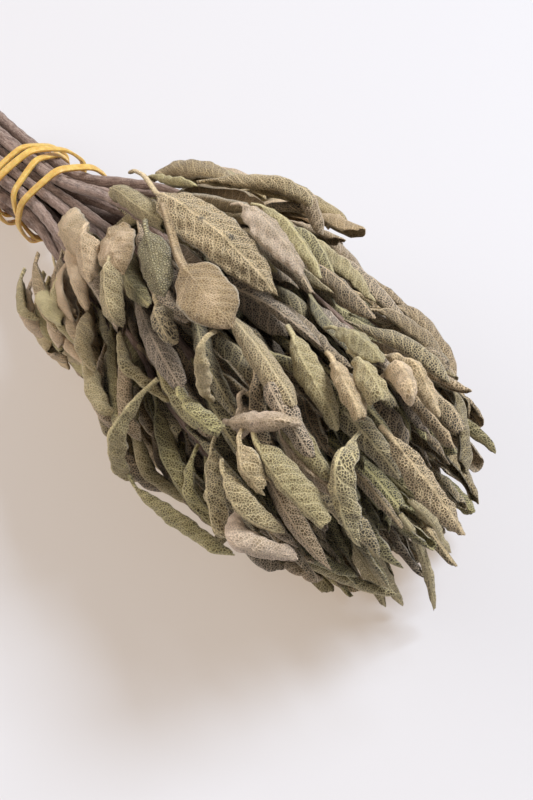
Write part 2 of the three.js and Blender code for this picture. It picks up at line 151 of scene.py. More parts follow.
def stemThickness(x):
    return layout["stemRadius"] * mix(1, 0.5, ease((x + 20) / 170))


def plantStem(sprig):
    start, end = stemStart(sprig), stemEnd(sprig)
    count = math.floor((end - start) / layout["stemStep"] + 0.5) + 1
    xs = [mix(start, end, k / (count - 1)) for k in range(count)]
    points = np.array([stemPoint(sprig, x) for x in xs])
    return {"kind": "stem", "sprig": sprig, "points": points, "radii": [stemThickness(x) for x in xs], "slack": 1.0}


def outwardFrom(spot, along):  # away from the middle of the bunch, square to this heading
    outward = np.array([0, spot[1], spot[2] - float(middleHeight(spot[0]))])
    return unit(outward - along * outward.dot(along))


def plantLeaf(stem, number, rootBead, around, size, opening):
    sprig = stem["sprig"]
    beads = layout["leafBeads"]
    root = stem["points"][rootBead]
    ahead = stem["points"][min(rootBead + 1, len(stem["points"]) - 1)]
    along = unit(ahead - stem["points"][rootBead - 1])
    outward = outwardFrom(root, along)
    spread = outward * math.cos(around) + np.cross(along, outward) * math.sin(around)
    stalk = size * between(5, 10, sprig, number, 5)
    blade = size * between(32, 46, sprig, number, 6)
    roll = size * between(2.9, 4.3, sprig, number, 7)
    step = (stalk + blade) / (beads - 1)
    points, radii = [root.copy()], [0.7]
    for k in range(1, beads):
        share = k / (beads - 1)
        angle = opening * (1 - share) ** 1.4 + 0.25 * (chance(sprig, number, 8) - 0.4) * share
        points.append(points[-1] + (along * math.cos(angle) + spread * math.sin(angle)) * step)
        grown = (share * (stalk + blade) - stalk) / blade
        swell = math.sin(math.pi * min(0.95, max(0, grown))) ** 0.45
        radii.append(0.8 if grown <= 0 else max(1.2, roll * swell))
    return {
        "kind": "leaf", "sprig": sprig, "number": number, "stem": stem, "rootBead": rootBead,
        "points": np.array(points), "radii": radii, "step": step, "stalk": stalk, "blade": blade, "roll": roll,
        "droop": mix(0.12, 0.4, ease((root[0] - 90) / 50)), "slack": between(0.94, 1.1, sprig, number, 9),
    }


def plantSprig(sprig):
    stem, leaves = plantStem(sprig), []
    share, last = stemShare(sprig), stemEnd(sprig)
    slumped = 28 * share * max(0, math.cos(goldenTurn * sprig - 1.85)) ** 4
    first = mix(50, 13, share) + slumped + 7 * chance(sprig, 0, 10)
    number = 0

    def addLeaf(x, around, size, opening):
        nonlocal number
        number += 1
        bead = math.floor((x - stemStart(sprig)) / layout["stemStep"] + 0.5)
        inward = math.cos(around) < -0.3 and x < last - 25
        if inward and chance(sprig, number, 11) < mix(0.3, 0.8, share):
            return
        bead = min(max(bead, 1), len(stem["points"]) - 1)
        leaves.append(plantLeaf(stem, number, bead, around, size, opening))

    turn = math.pi * chance(sprig, 0, 12)
    x = first
    while x < last - 6:
        size = mix(0.72, 1, ease(x / 30)) * mix(1, 0.8, ease((x - 70) / 80))
        opening = mix(1.25, 0.85, ease(x / 60))
        addLeaf(x, turn, size, opening + between(-0.2, 0.2, sprig, number, 13))
        addLeaf(x, turn + math.pi, size, opening + between(-0.2, 0.2, sprig, number, 14))
        turn += math.pi / 2 + 0.5 * (chance(sprig, number, 15) - 0.5)
        x += layout["nodeSpacing"]
    for k in range(4):
        size = between(0.55, 0.85, sprig, k, 16)
        addLeaf(last - 3, turn + k * math.pi / 2, size, between(0.5, 1.1, sprig, k, 18))
    return stem, leaves


# Stems and leaves are strings of beads that push each other apart until they have settled.
def settle(chains):
    start = np.cumsum([0] + [len(c["points"]) for c in chains])
    p = np.concatenate([c["points"] for c in chains])
    rest = p.copy()
    r = np.concatenate([c["radii"] for c in chains]).astype(float)
    chain = np.concatenate([np.full(len(c["points"]), i) for i, c in enumerate(chains)])
    order = np.concatenate([np.arange(len(c["points"])) for c in chains])
    leafy = np.array([c["kind"] == "leaf" for c in chains])[chain]
    sprigOf = np.array([c["sprig"] for c in chains])[chain]
    slack = np.array([c["slack"] for c in chains])[chain]
    droop = np.array([c.get("droop", 0) for c in chains])[chain] * order / (layout["leafBeads"] - 1)
    firstBead = start[chain]
    weight = np.where(leafy, 1.0, np.where(rest[:, 0] < 10, 0.0, 0.25))
    nearRoot = leafy & (order <= 1)
    free = weight > 0
    memory = np.where(leafy, 0.03, 0.08)[:, None]
    leaves = [i for i, c in enumerate(chains) if c["kind"] == "leaf"]
    beadsOf = start[leaves][:, None] + np.arange(layout["leafBeads"])
    where = {id(c): start[i] for i, c in enumerate(chains)}
    rootOf = np.array([where[id(chains[i]["stem"])] + chains[i]["rootBead"] for i in leaves])
    steps = np.array([chains[i]["step"] for i in leaves])[:, None]

    def findPairs():
        reachMost = r.max() + 3
        tree = KDTree(len(p))
        for i, spot in enumerate(p):
            tree.insert(spot, i)
        tree.balance()
        a, b = [], []
        for i in range(len(p)):
            found = [j for _, j, _ in tree.find_range(p[i], r[i] + reachMost) if j > i]
            a.extend([i] * len(found))
            b.extend(found)
        a, b = np.array(a), np.array(b)
        near = ((p[a] - p[b]) ** 2).sum(1) < (r[a] + r[b] + 3) ** 2
        joined = (sprigOf[a] == sprigOf[b]) & (nearRoot[a] | nearRoot[b])
        keep = near & (chain[a] != chain[b]) & ~joined
        return a[keep], b[keep]

    for step in range(layout["settleRounds"]):
        if step % 10 == 0:
            a, b = findPairs()
        gap = p[b] - p[a]
        distance = np.maximum(np.linalg.norm(gap, axis=1), 1e-6)
        overlap = r[a] + r[b] - distance
        total = weight[a] + weight[b]
        hit = (overlap > 0) & (total > 0)
        i, j = a[hit], b[hit]
        push = gap[hit] * (overlap[hit] / total[hit] / distance[hit])[:, None]
        move = np.zeros_like(p)
        np.add.at(move, i, -push * weight[i][:, None])
        np.add.at(move, j, push * weight[j][:, None])
        touches = np.bincount(np.concatenate([i, j]), minlength=len(p))
        p += move * (1.6 / np.maximum(1.6, touches))[:, None]

        wanted = rest + np.where(leafy[:, None], p[firstBead] - rest[firstBead], 0)
        p[free] += ((wanted - p) * memory)[free]
        p[:, 2] -= np.where(free & leafy, droop, 0)

        middle = middleHeight(p[:, 0])
        out = np.hypot(p[:, 1], p[:, 2] - middle)
        room = np.interp(p[:, 0], layout["outlineX"], layout["outlineRadius"]) * slack - r
        scale = np.where(free & (out > room), 1 - 0.5 * (1 - room / np.maximum(out, 1e-9)), 1)
        p[:, 1] *= scale
        p[:, 2] = middle + (p[:, 2] - middle) * scale
        floor = r + layout["pressedThickness"] + layout["clearance"]
        p[:, 2] = np.where(free, np.maximum(p[:, 2], floor), p[:, 2])

        q = p[beadsOf]
        q[:, 0] = p[rootOf]
        for k in range(1, q.shape[1] - 1):
            q[:, k] += ((q[:, k - 1] + q[:, k + 1]) / 2 - q[:, k]) * 0.2
        for k in range(1, q.shape[1]):
            q[:, k] = q[:, k - 1] + unit(q[:, k] - q[:, k - 1]) * steps
        p[beadsOf] = q
    for i, c in enumerate(chains):
        c["points"] = p[start[i] : start[i + 1]]


sprigs = [plantSprig(i) for i in range(layout["sprigCount"])]
chains = [chain for stem, leaves in sprigs for chain in [stem, *leaves]]
settle(chains)
print("settled", sum(len(leaves) for _, leaves in sprigs), "leaves on", len(sprigs), "stems")

pressedLeaves = [
    {"x": 52, "y": -14, "heading": -12, "length": 40, "width": 15},
    {"x": 56, "y": 13, "heading": 9, "length": 42, "width": 14},
    {"x": 98, "y": -20, "heading": 6, "length": 38, "width": 16},
    {"x": 102, "y": 3, "heading": -8, "length": 40, "width": 15},
    {"x": 100, "y": 23, "heading": 4, "length": 36, "width": 14},
]
pressedOutline = np.array([[0, 0.1], [0.2, 0.7], [0.45, 1], [0.7, 0.85], [0.9, 0.45], [1, 0]])


def pressedSpot(leaf, a, b):
    turn = math.radians(leaf["heading"])
    x = leaf["x"] + a * math.cos(turn) - b * math.sin(turn)
    return np.stack([x, leaf["y"] + a * math.sin(turn) + b * math.cos(turn)], axis=-1)


def planShift():  # from the bunch's own millimetres to the finished part's
    leaf = pressedLeaves[0]
    a, b = pressedOutline[:, 0] * leaf["length"], pressedOutline[:, 1] * leaf["width"] / 2
    spots = np.concatenate([pressedSpot(leaf, a, b), pressedSpot(leaf, a, -b)])
    low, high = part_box("pressed_leaf_1")
    found = [(low[k] + high[k]) / 2 / mm for k in (0, 1)]
    return np.array([*(found - (spots.min(0) + spots.max(0)) / 2), 0])


shift = planShift()
print("shift", shift.round(2))


# Where the head is slimmer than its beads: how much, round which direction in degrees and how far to
# each side of it, where along the bunch it fades in and out (from, over) and how far out it starts.
slimmer = [
    {"less": 0.19, "turn": 50, "spread": 42, "grows": (20, 40), "fades": (175, 50), "clear": (12, 26)},
    {"less": 0.09, "turn": 50, "spread": 36, "grows": (12, 20), "fades": (110, 50), "clear": (12, 26)},
    {"less": 0.2, "turn": 212, "spread": 30, "grows": (96, 30), "fades": (999, 1), "clear": (15, 22)},
    {"less": 0.27, "turn": 185, "spread": 55, "grows": (2, 18), "fades": (125, 60), "clear": (12, 20)},
]
tableClear = 0.5  # anything lower than this is eased up, so that nothing sinks into the table


def hug(p):
    x, scale = p[:, 0], np.ones(len(p))
    out, turn = aroundBunch(p)
    for rule in slimmer:
        grown = easeAll((x - rule["grows"][0]) / rule["grows"][1]) * easeAll((rule["fades"][0] - x) / rule["fades"][1])
        reach = easeAll((out - rule["clear"][0]) / rule["clear"][1])
        lean = (np.degrees(turn) - rule["turn"] + 180) % 360 - 180
        scale -= rule["less"] * grown * reach * np.exp(-((lean / rule["spread"]) ** 2))
    z = middleHeight(x) + (p[:, 2] - middleHeight(x)) * scale
    z = np.where(z < tableClear, tableClear * np.exp(np.minimum(z, tableClear) / tableClear - 1), z)
    return np.stack([x, p[:, 1] * scale, z], 1)


def meshObject(name, points, quads, attributes, material):
    mesh = bpy.data.meshes.new(name)
    mesh.vertices.add(len(points))
    mesh.vertices.foreach_set("co", ((hug(points) + shift) * mm).astype(np.float32).ravel())
    mesh.loops.add(quads.size)
    mesh.loops.foreach_set("vertex_index", quads.astype(np.int32).ravel())
    mesh.polygons.add(len(quads))
    mesh.polygons.foreach_set("loop_start", np.arange(0, quads.size, 4, dtype=np.int32))
    mesh.polygons.foreach_set("use_smooth", np.ones(len(quads), dtype=bool))
    for key, values in attributes.items():
        layer = mesh.attributes.new(key, "FLOAT_VECTOR", "POINT")
        layer.data.foreach_set("vector", values.astype(np.float32).ravel())
    mesh.update(calc_edges=True)
    mesh.validate()
    mesh.materials.append(material)
    made = bpy.data.objects.new(name, mesh)
    scene.collection.objects.link(made)
    return made


def threes(*values):  # three grids of numbers as rows of three
    return np.stack(values, -1).reshape(-1, 3)


def mergeParts(parts):  # several (points, quads, attributes) into one
    count, quads = 0, []
    for points, faces, _ in parts:
        quads.append(faces + count)
        count += len(points)
    keys = parts[0][2].keys()
    merged = {key: np.concatenate([part[2][key] for part in parts]) for key in keys}
    return np.concatenate([part[0] for part in parts]), np.concatenate(quads), merged


def gridQuads(rows, columns, start=0, wrap=False):
    k, j = np.meshgrid(np.arange(rows - 1), np.arange(columns if wrap else columns - 1), indexing="ij")
    k, j = k.ravel(), j.ravel()
    after = (j + 1) % columns
    return start + np.stack([k * columns + j, k * columns + after, (k + 1) * columns + after, (k + 1) * columns + j], 1)


def splinePoint(points, t):
    spot = np.clip(t, 0, 1) * (len(points) - 1)
    k = np.minimum(spot.astype(int), len(points) - 2)
    f = (spot - k)[..., None]
    ends = np.concatenate([[2 * points[0] - points[1]], points, [2 * points[-1] - points[-2]]])
    p0, p1, p2, p3 = (ends[k + i] for i in range(4))
    return p1 + 0.5 * f * (p2 - p0 + f * (2 * p0 - 5 * p1 + 4 * p2 - p3 + f * (3 * (p1 - p2) + p3 - p0)))


def splineHeading(points, t):
    return unit(splinePoint(points, t + 0.01) - splinePoint(points, t - 0.01))


def rgb(red, green, blue):  # screen colours 0 to 255
    return (*[((v / 255 + 0.055) / 1.055) ** 2.4 if v > 10 else v / 3294.6 for v in (red, green, blue)], 1)


def addNode(tree, kind, inputs=None, **settings):
    made = tree.nodes.new(kind)
    for key, value in settings.items():
        setattr(made, key, value)
    for key, value in (inputs or {}).items():
        if isinstance(value, bpy.types.NodeSocket):
            tree.links.new(value, made.inputs[key])
        else:
            made.inputs[key].default_value = value
    return made


def calc(tree, operation, *values):
    return addNode(tree, "ShaderNodeMath", dict(enumerate(values)), operation=operation).outputs[0]


def times(tree, a, b):
    return calc(tree, "MULTIPLY", a, b)


def timesPlus(tree, a, b, c):
    return calc(tree, "MULTIPLY_ADD", a, b, c)


def surfacePlace(tree, name):
    return addNode(tree, "ShaderNodeAttribute", attribute_name=name).outputs["Vector"]


def surfaceValues(tree, name):  # the three numbers that a mesh carries under this name
    return addNode(tree, "ShaderNodeSeparateXYZ", {"Vector": surfacePlace(tree, name)}).outputs


def ramp(tree, value, low, high, toLow=0.0, toHigh=1.0):
    sockets = {"Value": value, "From Min": low, "From Max": high, "To Min": toLow, "To Max": toHigh}
    return addNode(tree, "ShaderNodeMapRange", sockets, interpolation_type="SMOOTHSTEP").outputs["Result"]


def blendColor(tree, amount, first, second, way="MIX"):
    sockets = {0: amount, 6: first, 7: second}
    return addNode(tree, "ShaderNodeMix", sockets, data_type="RGBA", blend_type=way).outputs[2]


def noise(tree, place, scale, detail=3.0, roughness=0.55):
    sockets = {"Vector": place, "Scale": scale, "Detail": detail, "Roughness": roughness}
    return addNode(tree, "ShaderNodeTexNoise", sockets).outputs["Fac"]


def cellEdges(tree, place, scale):  # how far each spot is from the edge of its cell
    sockets = {"Vector": place, "Scale": scale}
    cells = {"feature": "DISTANCE_TO_EDGE", "voronoi_dimensions": "2D"}
    return addNode(tree, "ShaderNodeTexVoronoi", sockets, **cells).outputs[0]


def colorRamp(tree, value, stops, plain=False):
    made = addNode(tree, "ShaderNodeValToRGB", {"Fac": value})
    marks = made.color_ramp.elements
    for spot, _ in stops[2:]:
        marks.new(spot)
    for mark, (spot, color) in zip(marks, stops):
        mark.position = spot
        mark.color = (*color, 1) if plain else rgb(*color)
    return made.outputs["Color"]


def newGroup(name, inputs, outputs):
    tree = bpy.data.node_groups.new(name, "ShaderNodeTree")
    for way, sockets in (("INPUT", inputs), ("OUTPUT", outputs)):
        for key, kind in sockets.items():
            tree.interface.new_socket(key, in_out=way, socket_type=kind)
    return tree, tree.nodes.new("NodeGroupInput").outputs, tree.nodes.new("NodeGroupOutput").inputs


def addBump(tree, shader, height, strength, distance):
    bump = addNode(tree, "ShaderNodeBump", {"Height": height, "Strength": strength, "Distance": distance})
    tree.links.new(bump.outputs["Normal"], shader.inputs["Normal"])


def newMaterial(name, principled):
    material = bpy.data.materials.new(name)
    material.use_nodes = True
    shader = material.node_tree.nodes["Principled BSDF"]
    for key, value in principled.items():
        shader.inputs[key].default_value = value
    return material, material.node_tree, shader


ribSpacing = 3.3  # between the side ribs of a leaf

leafPaint = {
    "tones": [
        (0.0, (30, 22, 12)), (0.25, (62, 50, 28)), (0.5, (98, 84, 54)), (0.75, (148, 134, 104)), (1.0, (208, 196, 178)),
    ],
    "tints": [
        (0.0, (1.03, 1.01, 0.64)), (0.35, (1.08, 1.0, 0.75)), (0.65, (1.18, 0.98, 0.78)), (1.0, (1.14, 1.01, 1.01)),
    ],
    # edge is a painted highlight along the leaf margins, and upper is the darker upper face, partly painted shade
    "vein": (230, 219, 192), "upper": (78, 72, 42), "edge": (214, 204, 182), "fleck": (54, 38, 24),
}


# A leaf's veins, pebbling and blotches, from its place in millimetres along and across.
def leafPatternGroup():
    number, vector = "NodeSocketFloat", "NodeSocketVector"
    outputs = {key: number for key in ("Ribs", "Net", "Pebble", "Blotch", "Grain", "Fleck")}
    tree, given, put = newGroup("leafPattern", {"Place": vector, "Spacing": number}, outputs)
    place = given["Place"]
    along, sideways, seed = addNode(tree, "ShaderNodeSeparateXYZ", {"Vector": place}).outputs
    across = calc(tree, "ABSOLUTE", sideways)

    # side ribs slant forward from the midrib, out of step on the two halves
    midrib = ramp(tree, across, 0.15, 0.5, 1.0, 0.0)
    wander = calc(tree, "SUBTRACT", noise(tree, place, 0.35, 2.0), 0.5)
    spaced = calc(tree, "DIVIDE", timesPlus(tree, across, -0.8, along), given["Spacing"])
    offside = times(tree, calc(tree, "GREATER_THAN", sideways, 0.0), 0.46)
    spaced = timesPlus(tree, wander, 0.7, calc(tree, "ADD", spaced, offside))
    gap = calc(tree, "ABSOLUTE", calc(tree, "SUBTRACT", calc(tree, "FRACT", spaced), 0.5))
    lateral = ramp(tree, times(tree, gap, given["Spacing"]), 0.08, 0.42, 0.8, 0.0)
    tree.links.new(calc(tree, "MAXIMUM", midrib, lateral), put["Ribs"])

    # the net between the ribs is the edges of small uneven cells, shifted for each leaf
    jiggle = addNode(tree, "ShaderNodeTexNoise", {"Vector": place, "Scale": 0.9, "Detail": 1.0}).outputs["Color"]
    bent = addNode(tree, "ShaderNodeVectorMath", {0: jiggle, 1: (0.5, 0.5, 0.0), 2: place}, operation="MULTIPLY_ADD")
    apart = addNode(tree, "ShaderNodeCombineXYZ", {0: times(tree, seed, 11.3), 1: seed}).outputs[0]
    flat = addNode(tree, "ShaderNodeVectorMath", {0: bent.outputs[0], 1: apart}, operation="ADD").outputs[0]
    coarse, fine = [cellEdges(tree, flat, scale) for scale in (1.4, 2.9)]
    coarseLine, fineLine = ramp(tree, coarse, 0.04, 0.2, 1.0, 0.0), ramp(tree, fine, 0.02, 0.2, 0.18, 0.0)
    tree.links.new(calc(tree, "MAXIMUM", coarseLine, fineLine), put["Net"])
    coarseDome, fineDome = ramp(tree, coarse, 0.0, 0.5), ramp(tree, fine, 0.0, 0.5, 0.0, 0.55)
    tree.links.new(calc(tree, "ADD", coarseDome, fineDome), put["Pebble"])
    tree.links.new(noise(tree, place, 0.11, 4.0, 0.6), put["Blotch"])
    tree.links.new(noise(tree, place, 3.2, 3.0, 0.7), put["Grain"])
    tree.links.new(ramp(tree, noise(tree, place, 0.8, 2.0), 0.68, 0.76), put["Fleck"])
    return tree


def leafMaterial(name, paint, leafPattern):
    material, tree, shader = newMaterial(name, {
        "Roughness": 0.92, "Specular IOR Level": 0.25, "Sheen Weight": 0.25, "Sheen Roughness": 0.6,
    })
    tone, under, hue = surfaceValues(tree, "leafLook")
    veins, pebbled, margin = surfaceValues(tree, "leafKind")
    pattern = addNode(tree, "ShaderNodeGroup", node_tree=leafPattern)
    tree.links.new(surfacePlace(tree, "leafPlace"), pattern.inputs["Place"])
    pattern.inputs["Spacing"].default_value = ribSpacing
    out = pattern.outputs

    # a tone from dark to pale picks the felt's colour, and strong pebbling gets pale dots: a painted highlight on the
    # dome tops
    toned = calc(tree, "ADD", tone, timesPlus(tree, out["Blotch"], 0.9, -0.45))
    toned = calc(tree, "ADD", toned, timesPlus(tree, out["Pebble"], -0.1, 0.05))
    paintedDomeHighlight = timesPlus(tree, out["Pebble"], 1.5, -0.3)
    toned = timesPlus(tree, ramp(tree, pebbled, 1.3, 2.4), paintedDomeHighlight, toned)
    color = colorRamp(tree, toned, paint["tones"])
    # the upper face is darker olive than the felted underside, and darker still as painted shade for the gaps between
    # leaves
    upper = times(tree, calc(tree, "SUBTRACT", 1.0, under), 0.55)
    color = blendColor(tree, upper, color, rgb(*paint["upper"]))
    for lines, strength in ((out["Net"], 0.8), (out["Ribs"], 0.65)):
        color = blendColor(tree, times(tree, lines, times(tree, veins, strength)), color, rgb(*paint["vein"]))
    color = blendColor(tree, 1.0, color, colorRamp(tree, hue, paint["tints"], plain=True), "MULTIPLY")
    color = blendColor(tree, times(tree, out["Fleck"], 0.55), color, rgb(*paint["fleck"]))
    # the margins are blended towards the pale edge colour: a painted highlight on the curled felt
    color = blendColor(tree, ramp(tree, margin, 0.88, 1.0, 0.0, 0.55), color, rgb(*paint["edge"]))
    grainy = ramp(tree, out["Grain"], 0.3, 0.7, 0.78, 1.18)
    grey = addNode(tree, "ShaderNodeCombineXYZ", {0: grainy, 1: grainy, 2: grainy}).outputs[0]
    tree.links.new(blendColor(tree, 1.0, color, grey, "MULTIPLY"), shader.inputs["Base Color"])

    height = times(tree, out["Ribs"], veins)
    height = timesPlus(tree, out["Net"], times(tree, veins, 0.7), height)
    height = timesPlus(tree, out["Pebble"], times(tree, pebbled, 1.2), height)
    height = timesPlus(tree, out["Grain"], 0.5, height)
    addBump(tree, shader, height, 1.0, 0.0003)
    return material


leafFelt = leafMaterial("leafFelt", leafPaint, leafPatternGroup())

stemPaint = {
    "bark": (156, 132, 120), "dark": (104, 82, 72), "pale": (200, 182, 166),
    "wood": (196, 176, 132), "pith": (224, 214, 188),
}


def stemMaterial(paint):
    bark = {"Roughness": 0.85, "Specular IOR Level": 0.3, "Sheen Weight": 0.2}
    material, tree, shader = newMaterial("stemBark", bark)
    place = surfacePlace(tree, "stemPlace")
    stretch = addNode(tree, "ShaderNodeVectorMath", {0: place, 1: (0.12, 1.0, 1.0)}, operation="MULTIPLY").outputs[0]
    cut = surfaceValues(tree, "stemCut")[0]
    streak = noise(tree, stretch, 2.2, 4.0, 0.65)
    wool = noise(tree, place, 1.7, 3.0, 0.7)
    color = blendColor(tree, ramp(tree, streak, 0.35, 0.65), rgb(*paint["dark"]), rgb(*paint["bark"]))
    color = blendColor(tree, ramp(tree, wool, 0.5, 0.75, 0.0, 0.7), color, rgb(*paint["pale"]))
    color = blendColor(tree, ramp(tree, cut, 0.1, 0.4), color, rgb(*paint["wood"]))
    color = blendColor(tree, ramp(tree, cut, 0.55, 0.8), color, rgb(*paint["pith"]))
    tree.links.new(color, shader.inputs["Base Color"])
    addBump(tree, shader, timesPlus(tree, wool, 0.6, streak), 0.8, 0.00025)
    return material


stemBark = stemMaterial(stemPaint)
print("leaf and stem materials made")

# a leaf's half width along it: one list for a tapered leaf, one for a blunt, rolled end
taper = [
    [0, 0.04, 0.12, 0.25, 0.42, 0.6, 0.75, 0.87, 0.95, 0.985, 1],
    [0.1, 0.3, 0.62, 0.88, 1, 0.95, 0.82, 0.62, 0.4, 0.22, 0.05],
]
bluntEnd = [[0, 0.04, 0.12, 0.25, 0.42, 0.6, 0.75, 0.87, 0.95, 1], [0.1, 0.3, 0.62, 0.88, 1, 1, 0.97, 0.92, 0.84, 0.72]]

# what a leaf is like where its own look says nothing else, in radians and millimetres
plainLeaf = {
    "rounded": 0.1, "torn": 0.02, "blunt": 0.3, "round": 0.0, "sway": 0.04, "jag": 0.0, "stalkHalf": 0.75,
    "unroll": 0.0, "uneven": 0.0, "waver": 0.15, "lift": 0.5, "twist": 0.0, "hook": 0.0,
    "crumple": 0.35, "ruffle": 0.5, "ruffles": 0.8,
    "hue": 0.5, "paintedShade": 0.0, "veins": 0.7, "pebble": 0.5, "faceUp": 0, "spots": [],
}


def halfWidth(look, u, s, b, wave):
    share = mix(np.interp(b, *taper), np.interp(b, *bluntEnd), look["blunt"])
    share = mix(share, np.sqrt(np.clip(4.2 * (b + 0.01) * (1.01 - b), 0.01, 1)), look["round"])
    sway = np.sin(b * 9 + wave(4) + 2 * np.sign(s)) + np.sin(b * 17 + wave(5) - np.sign(s))
    half = look["half"] * share * (1 + look["sway"] * sway * np.abs(s) ** 2)
    jag = np.abs(np.sin(1.9 * u + wave(6) + np.sign(s))) + 0.5 * np.sin(4.3 * u + 2 * np.sign(s))
    half = half + look["jag"] * jag * np.abs(s) ** 4 * share
    return share, np.where(b < 0.5, np.maximum(half, look["stalkHalf"]), half)


# Walks from the midrib to both margins, bending by the curl: how far across and how far down each spot is.
def rollOut(half, curl):
    columns = curl.shape[1]
    middle, ds = columns // 2, 2 / (columns - 1)
    level, drop = half * np.cos(curl) * ds, half * np.sin(curl) * ds
    across, down = np.zeros_like(curl), np.zeros_like(curl)
    for total, rate in ((across, level), (down, drop)):
        total[:, middle + 1 :] = np.cumsum((rate[:, middle + 1 :] + rate[:, middle:-1]) / 2, axis=1)
        total[:, :middle] = np.cumsum(((rate[:, :middle] + rate[:, 1 : middle + 1]) / 2)[:, ::-1], axis=1)[:, ::-1]
    return across, down


def closeSheet(top, under):  # two grids of points, joined round the edge into one closed skin
    count, width = top.shape[:2]
    size = count * width
    k, j = np.arange(count - 1) * width, np.arange(width - 1)
    left = np.stack([k, k + width, k + width + size, k + size], 1)
    right = np.stack([k, k + size, k + width + size, k + width], 1) + width - 1
    near = np.stack([j, j + size, j + 1 + size, j + 1], 1)
    far = np.stack([j, j + 1, j + 1 + size, j + size], 1) + (count - 1) * width
    underQuads = gridQuads(count, width, size)[:, ::-1]
    quads = np.concatenate([gridQuads(count, width), underQuads, left, right, near, far])[:, ::-1]
    return np.concatenate([top.reshape(-1, 3), under.reshape(-1, 3)]), quads


# A thin leaf curled round its midrib, with the numbers that its material needs at each point.
def makeLeaf(midrib, back, look, rows=32, columns=13, relief=0.0):
    look = {**plainLeaf, **look}
    seed, stalk, blade = look["seed"], look["stalk"], look["blade"]

    def wave(k):
        return math.tau * chance(seed, 3, k)

    # u runs along the leaf from the foot of its blade, s across it from -1 to 1, b from 0 to 1 up the blade
    s = np.linspace(-1, 1, columns)[None, :]
    stalkRows = np.linspace(-stalk, 0, 7 if stalk < 12 else 20)[:-1]
    u = np.concatenate([stalkRows, blade * np.linspace(0, 1, rows) ** 0.93])[:, None]
    torn = np.sin(5.1 * s + wave(1)) + 0.6 * np.sin(11.7 * s + wave(2)) + 0.4 * np.sin(23 * s + wave(3))
    u = np.where(u > 0, u * (1 - look["rounded"] * s**2 - look["torn"] * (1 + torn / 2)), u)
    b = np.clip(u / blade, 0, 1)
    t = (u + stalk) / (stalk + blade)
    grown = easeAll(b / 0.14)
    share, half = halfWidth(look, u, s, b, wave)
    mmAcross = s * half

    bend = look["bend"] * (1 + look["unroll"] * (b - 0.4)) * (1 + look["uneven"] * np.sign(s))
    bend = bend + look["waver"] * np.sin(9 * b + wave(7) + np.sign(s))
    curl = look["fold"] + bend * np.abs(s) + look["rim"] * np.maximum(0, (np.abs(s) - 0.75) / 0.25) ** 2
    curl = mix(0.5 + 0.7 * np.abs(s), curl, grown)
    across, down = rollOut(half, curl)
    lift = look["lift"] * down.max(axis=1, keepdims=True)
    hook = look["hook"] * np.maximum(0, (b - 0.7) / 0.3) ** 2

    place, along = splinePoint(midrib, t), splineHeading(midrib, t)
    twist = (look["twist"] * (t - 0.5))[..., None]
    up = unit(back - along * (along * back).sum(-1, keepdims=True))
    side = np.cross(along, up)
    up, side = up * np.cos(twist) + side * np.sin(twist), side * np.cos(twist) - up * np.sin(twist)
    normal = up * np.cos(curl)[..., None] + np.sign(s)[..., None] * side * np.sin(curl)[..., None]

    crumple = np.sin(0.62 * u + 0.5 * mmAcross + wave(8)) * np.sin(0.75 * mmAcross - 0.2 * u + wave(9))
    crumple = crumple + 0.55 * np.sin(1.3 * u - 0.8 * mmAcross + wave(10)) * np.cos(1.2 * mmAcross + wave(11))
    ruffle = np.sin(look["ruffles"] * u + wave(12) + 1.5 * np.sign(s)) * s**4
    out = grown * (look["crumple"] * crumple + look["ruffle"] * ruffle * share)
    sheet = place + up * (lift - down - hook)[..., None] + side * (np.sign(s) * across)[..., None]
    sheet = sheet + normal * out[..., None]

    thick = mix(0.5, 0.2, grown) * (1 - 0.5 * s**8) * mix(1.0, 0.6, b)
    ridge = mix(0.26, 0.08, b) * np.exp(-((mmAcross / 0.4) ** 2)) * grown
    if relief:  # the side ribs stand up and the felt puffs out between them
        gap = (u - 0.8 * np.abs(mmAcross)) / ribSpacing + 0.46 * (s > 0)
        gap = np.abs(gap - np.floor(gap) - 0.5) * ribSpacing
        ridge = ridge + relief * np.exp(-((gap / 0.45) ** 2)) * grown * (1 - 0.5 * np.abs(s))
        sheet = sheet - normal * (relief * np.cos(gap * math.tau / ribSpacing) * grown)[..., None]
    points, quads = closeSheet(sheet + normal * (thick + ridge)[..., None], sheet - normal * thick[..., None])

    full = np.ones_like(b)
    # the tone includes painted shade for leaves deep in the bunch
    tone, veins = full * (look["tone"] + look["paintedShade"]), full * look["veins"]
    for spotShare, off in look["spots"]:  # small dark marks, by share of the blade and millimetres off the midrib
        mark = np.exp(-(((u - spotShare * blade) ** 2 + (mmAcross - off) ** 2) / 0.6))
        tone, veins = tone - 1.6 * mark, veins * (1 - mark)
    hue = full * look["hue"]
    twice = {
        "leafPlace": [(u, mmAcross, full * (seed % 97) * 3.7)] * 2,
        "leafLook": [(tone, full * (1 - look["faceUp"]), hue), (tone, full * look["faceUp"], hue)],
        "leafKind": [(veins, full * look["pebble"], np.abs(s) * full * grown)] * 2,
    }
    attributes = {key: np.concatenate([threes(*grids) for grids in twice[key]]) for key in twice}
    return points, quads, attributes


def leafBack(points, rollBy):
    spot = points[int(len(points) * 0.6)]
    along = unit(points[-1] - points[0])
    outward = outwardFrom(spot, along)
    return outward * math.cos(rollBy) + np.cross(along, outward) * math.sin(rollBy)


def crowding(points):  # 0 deep inside the bunch to 1 at its surface
    spot = points[6]
    return aroundBunch(spot)[0] / np.interp(spot[0], layout["outlineX"], layout["outlineRadius"])


def paler(x):  # leaves near the band are the palest
    return mix(0.5, -0.06, ease((x - 20) / 75))


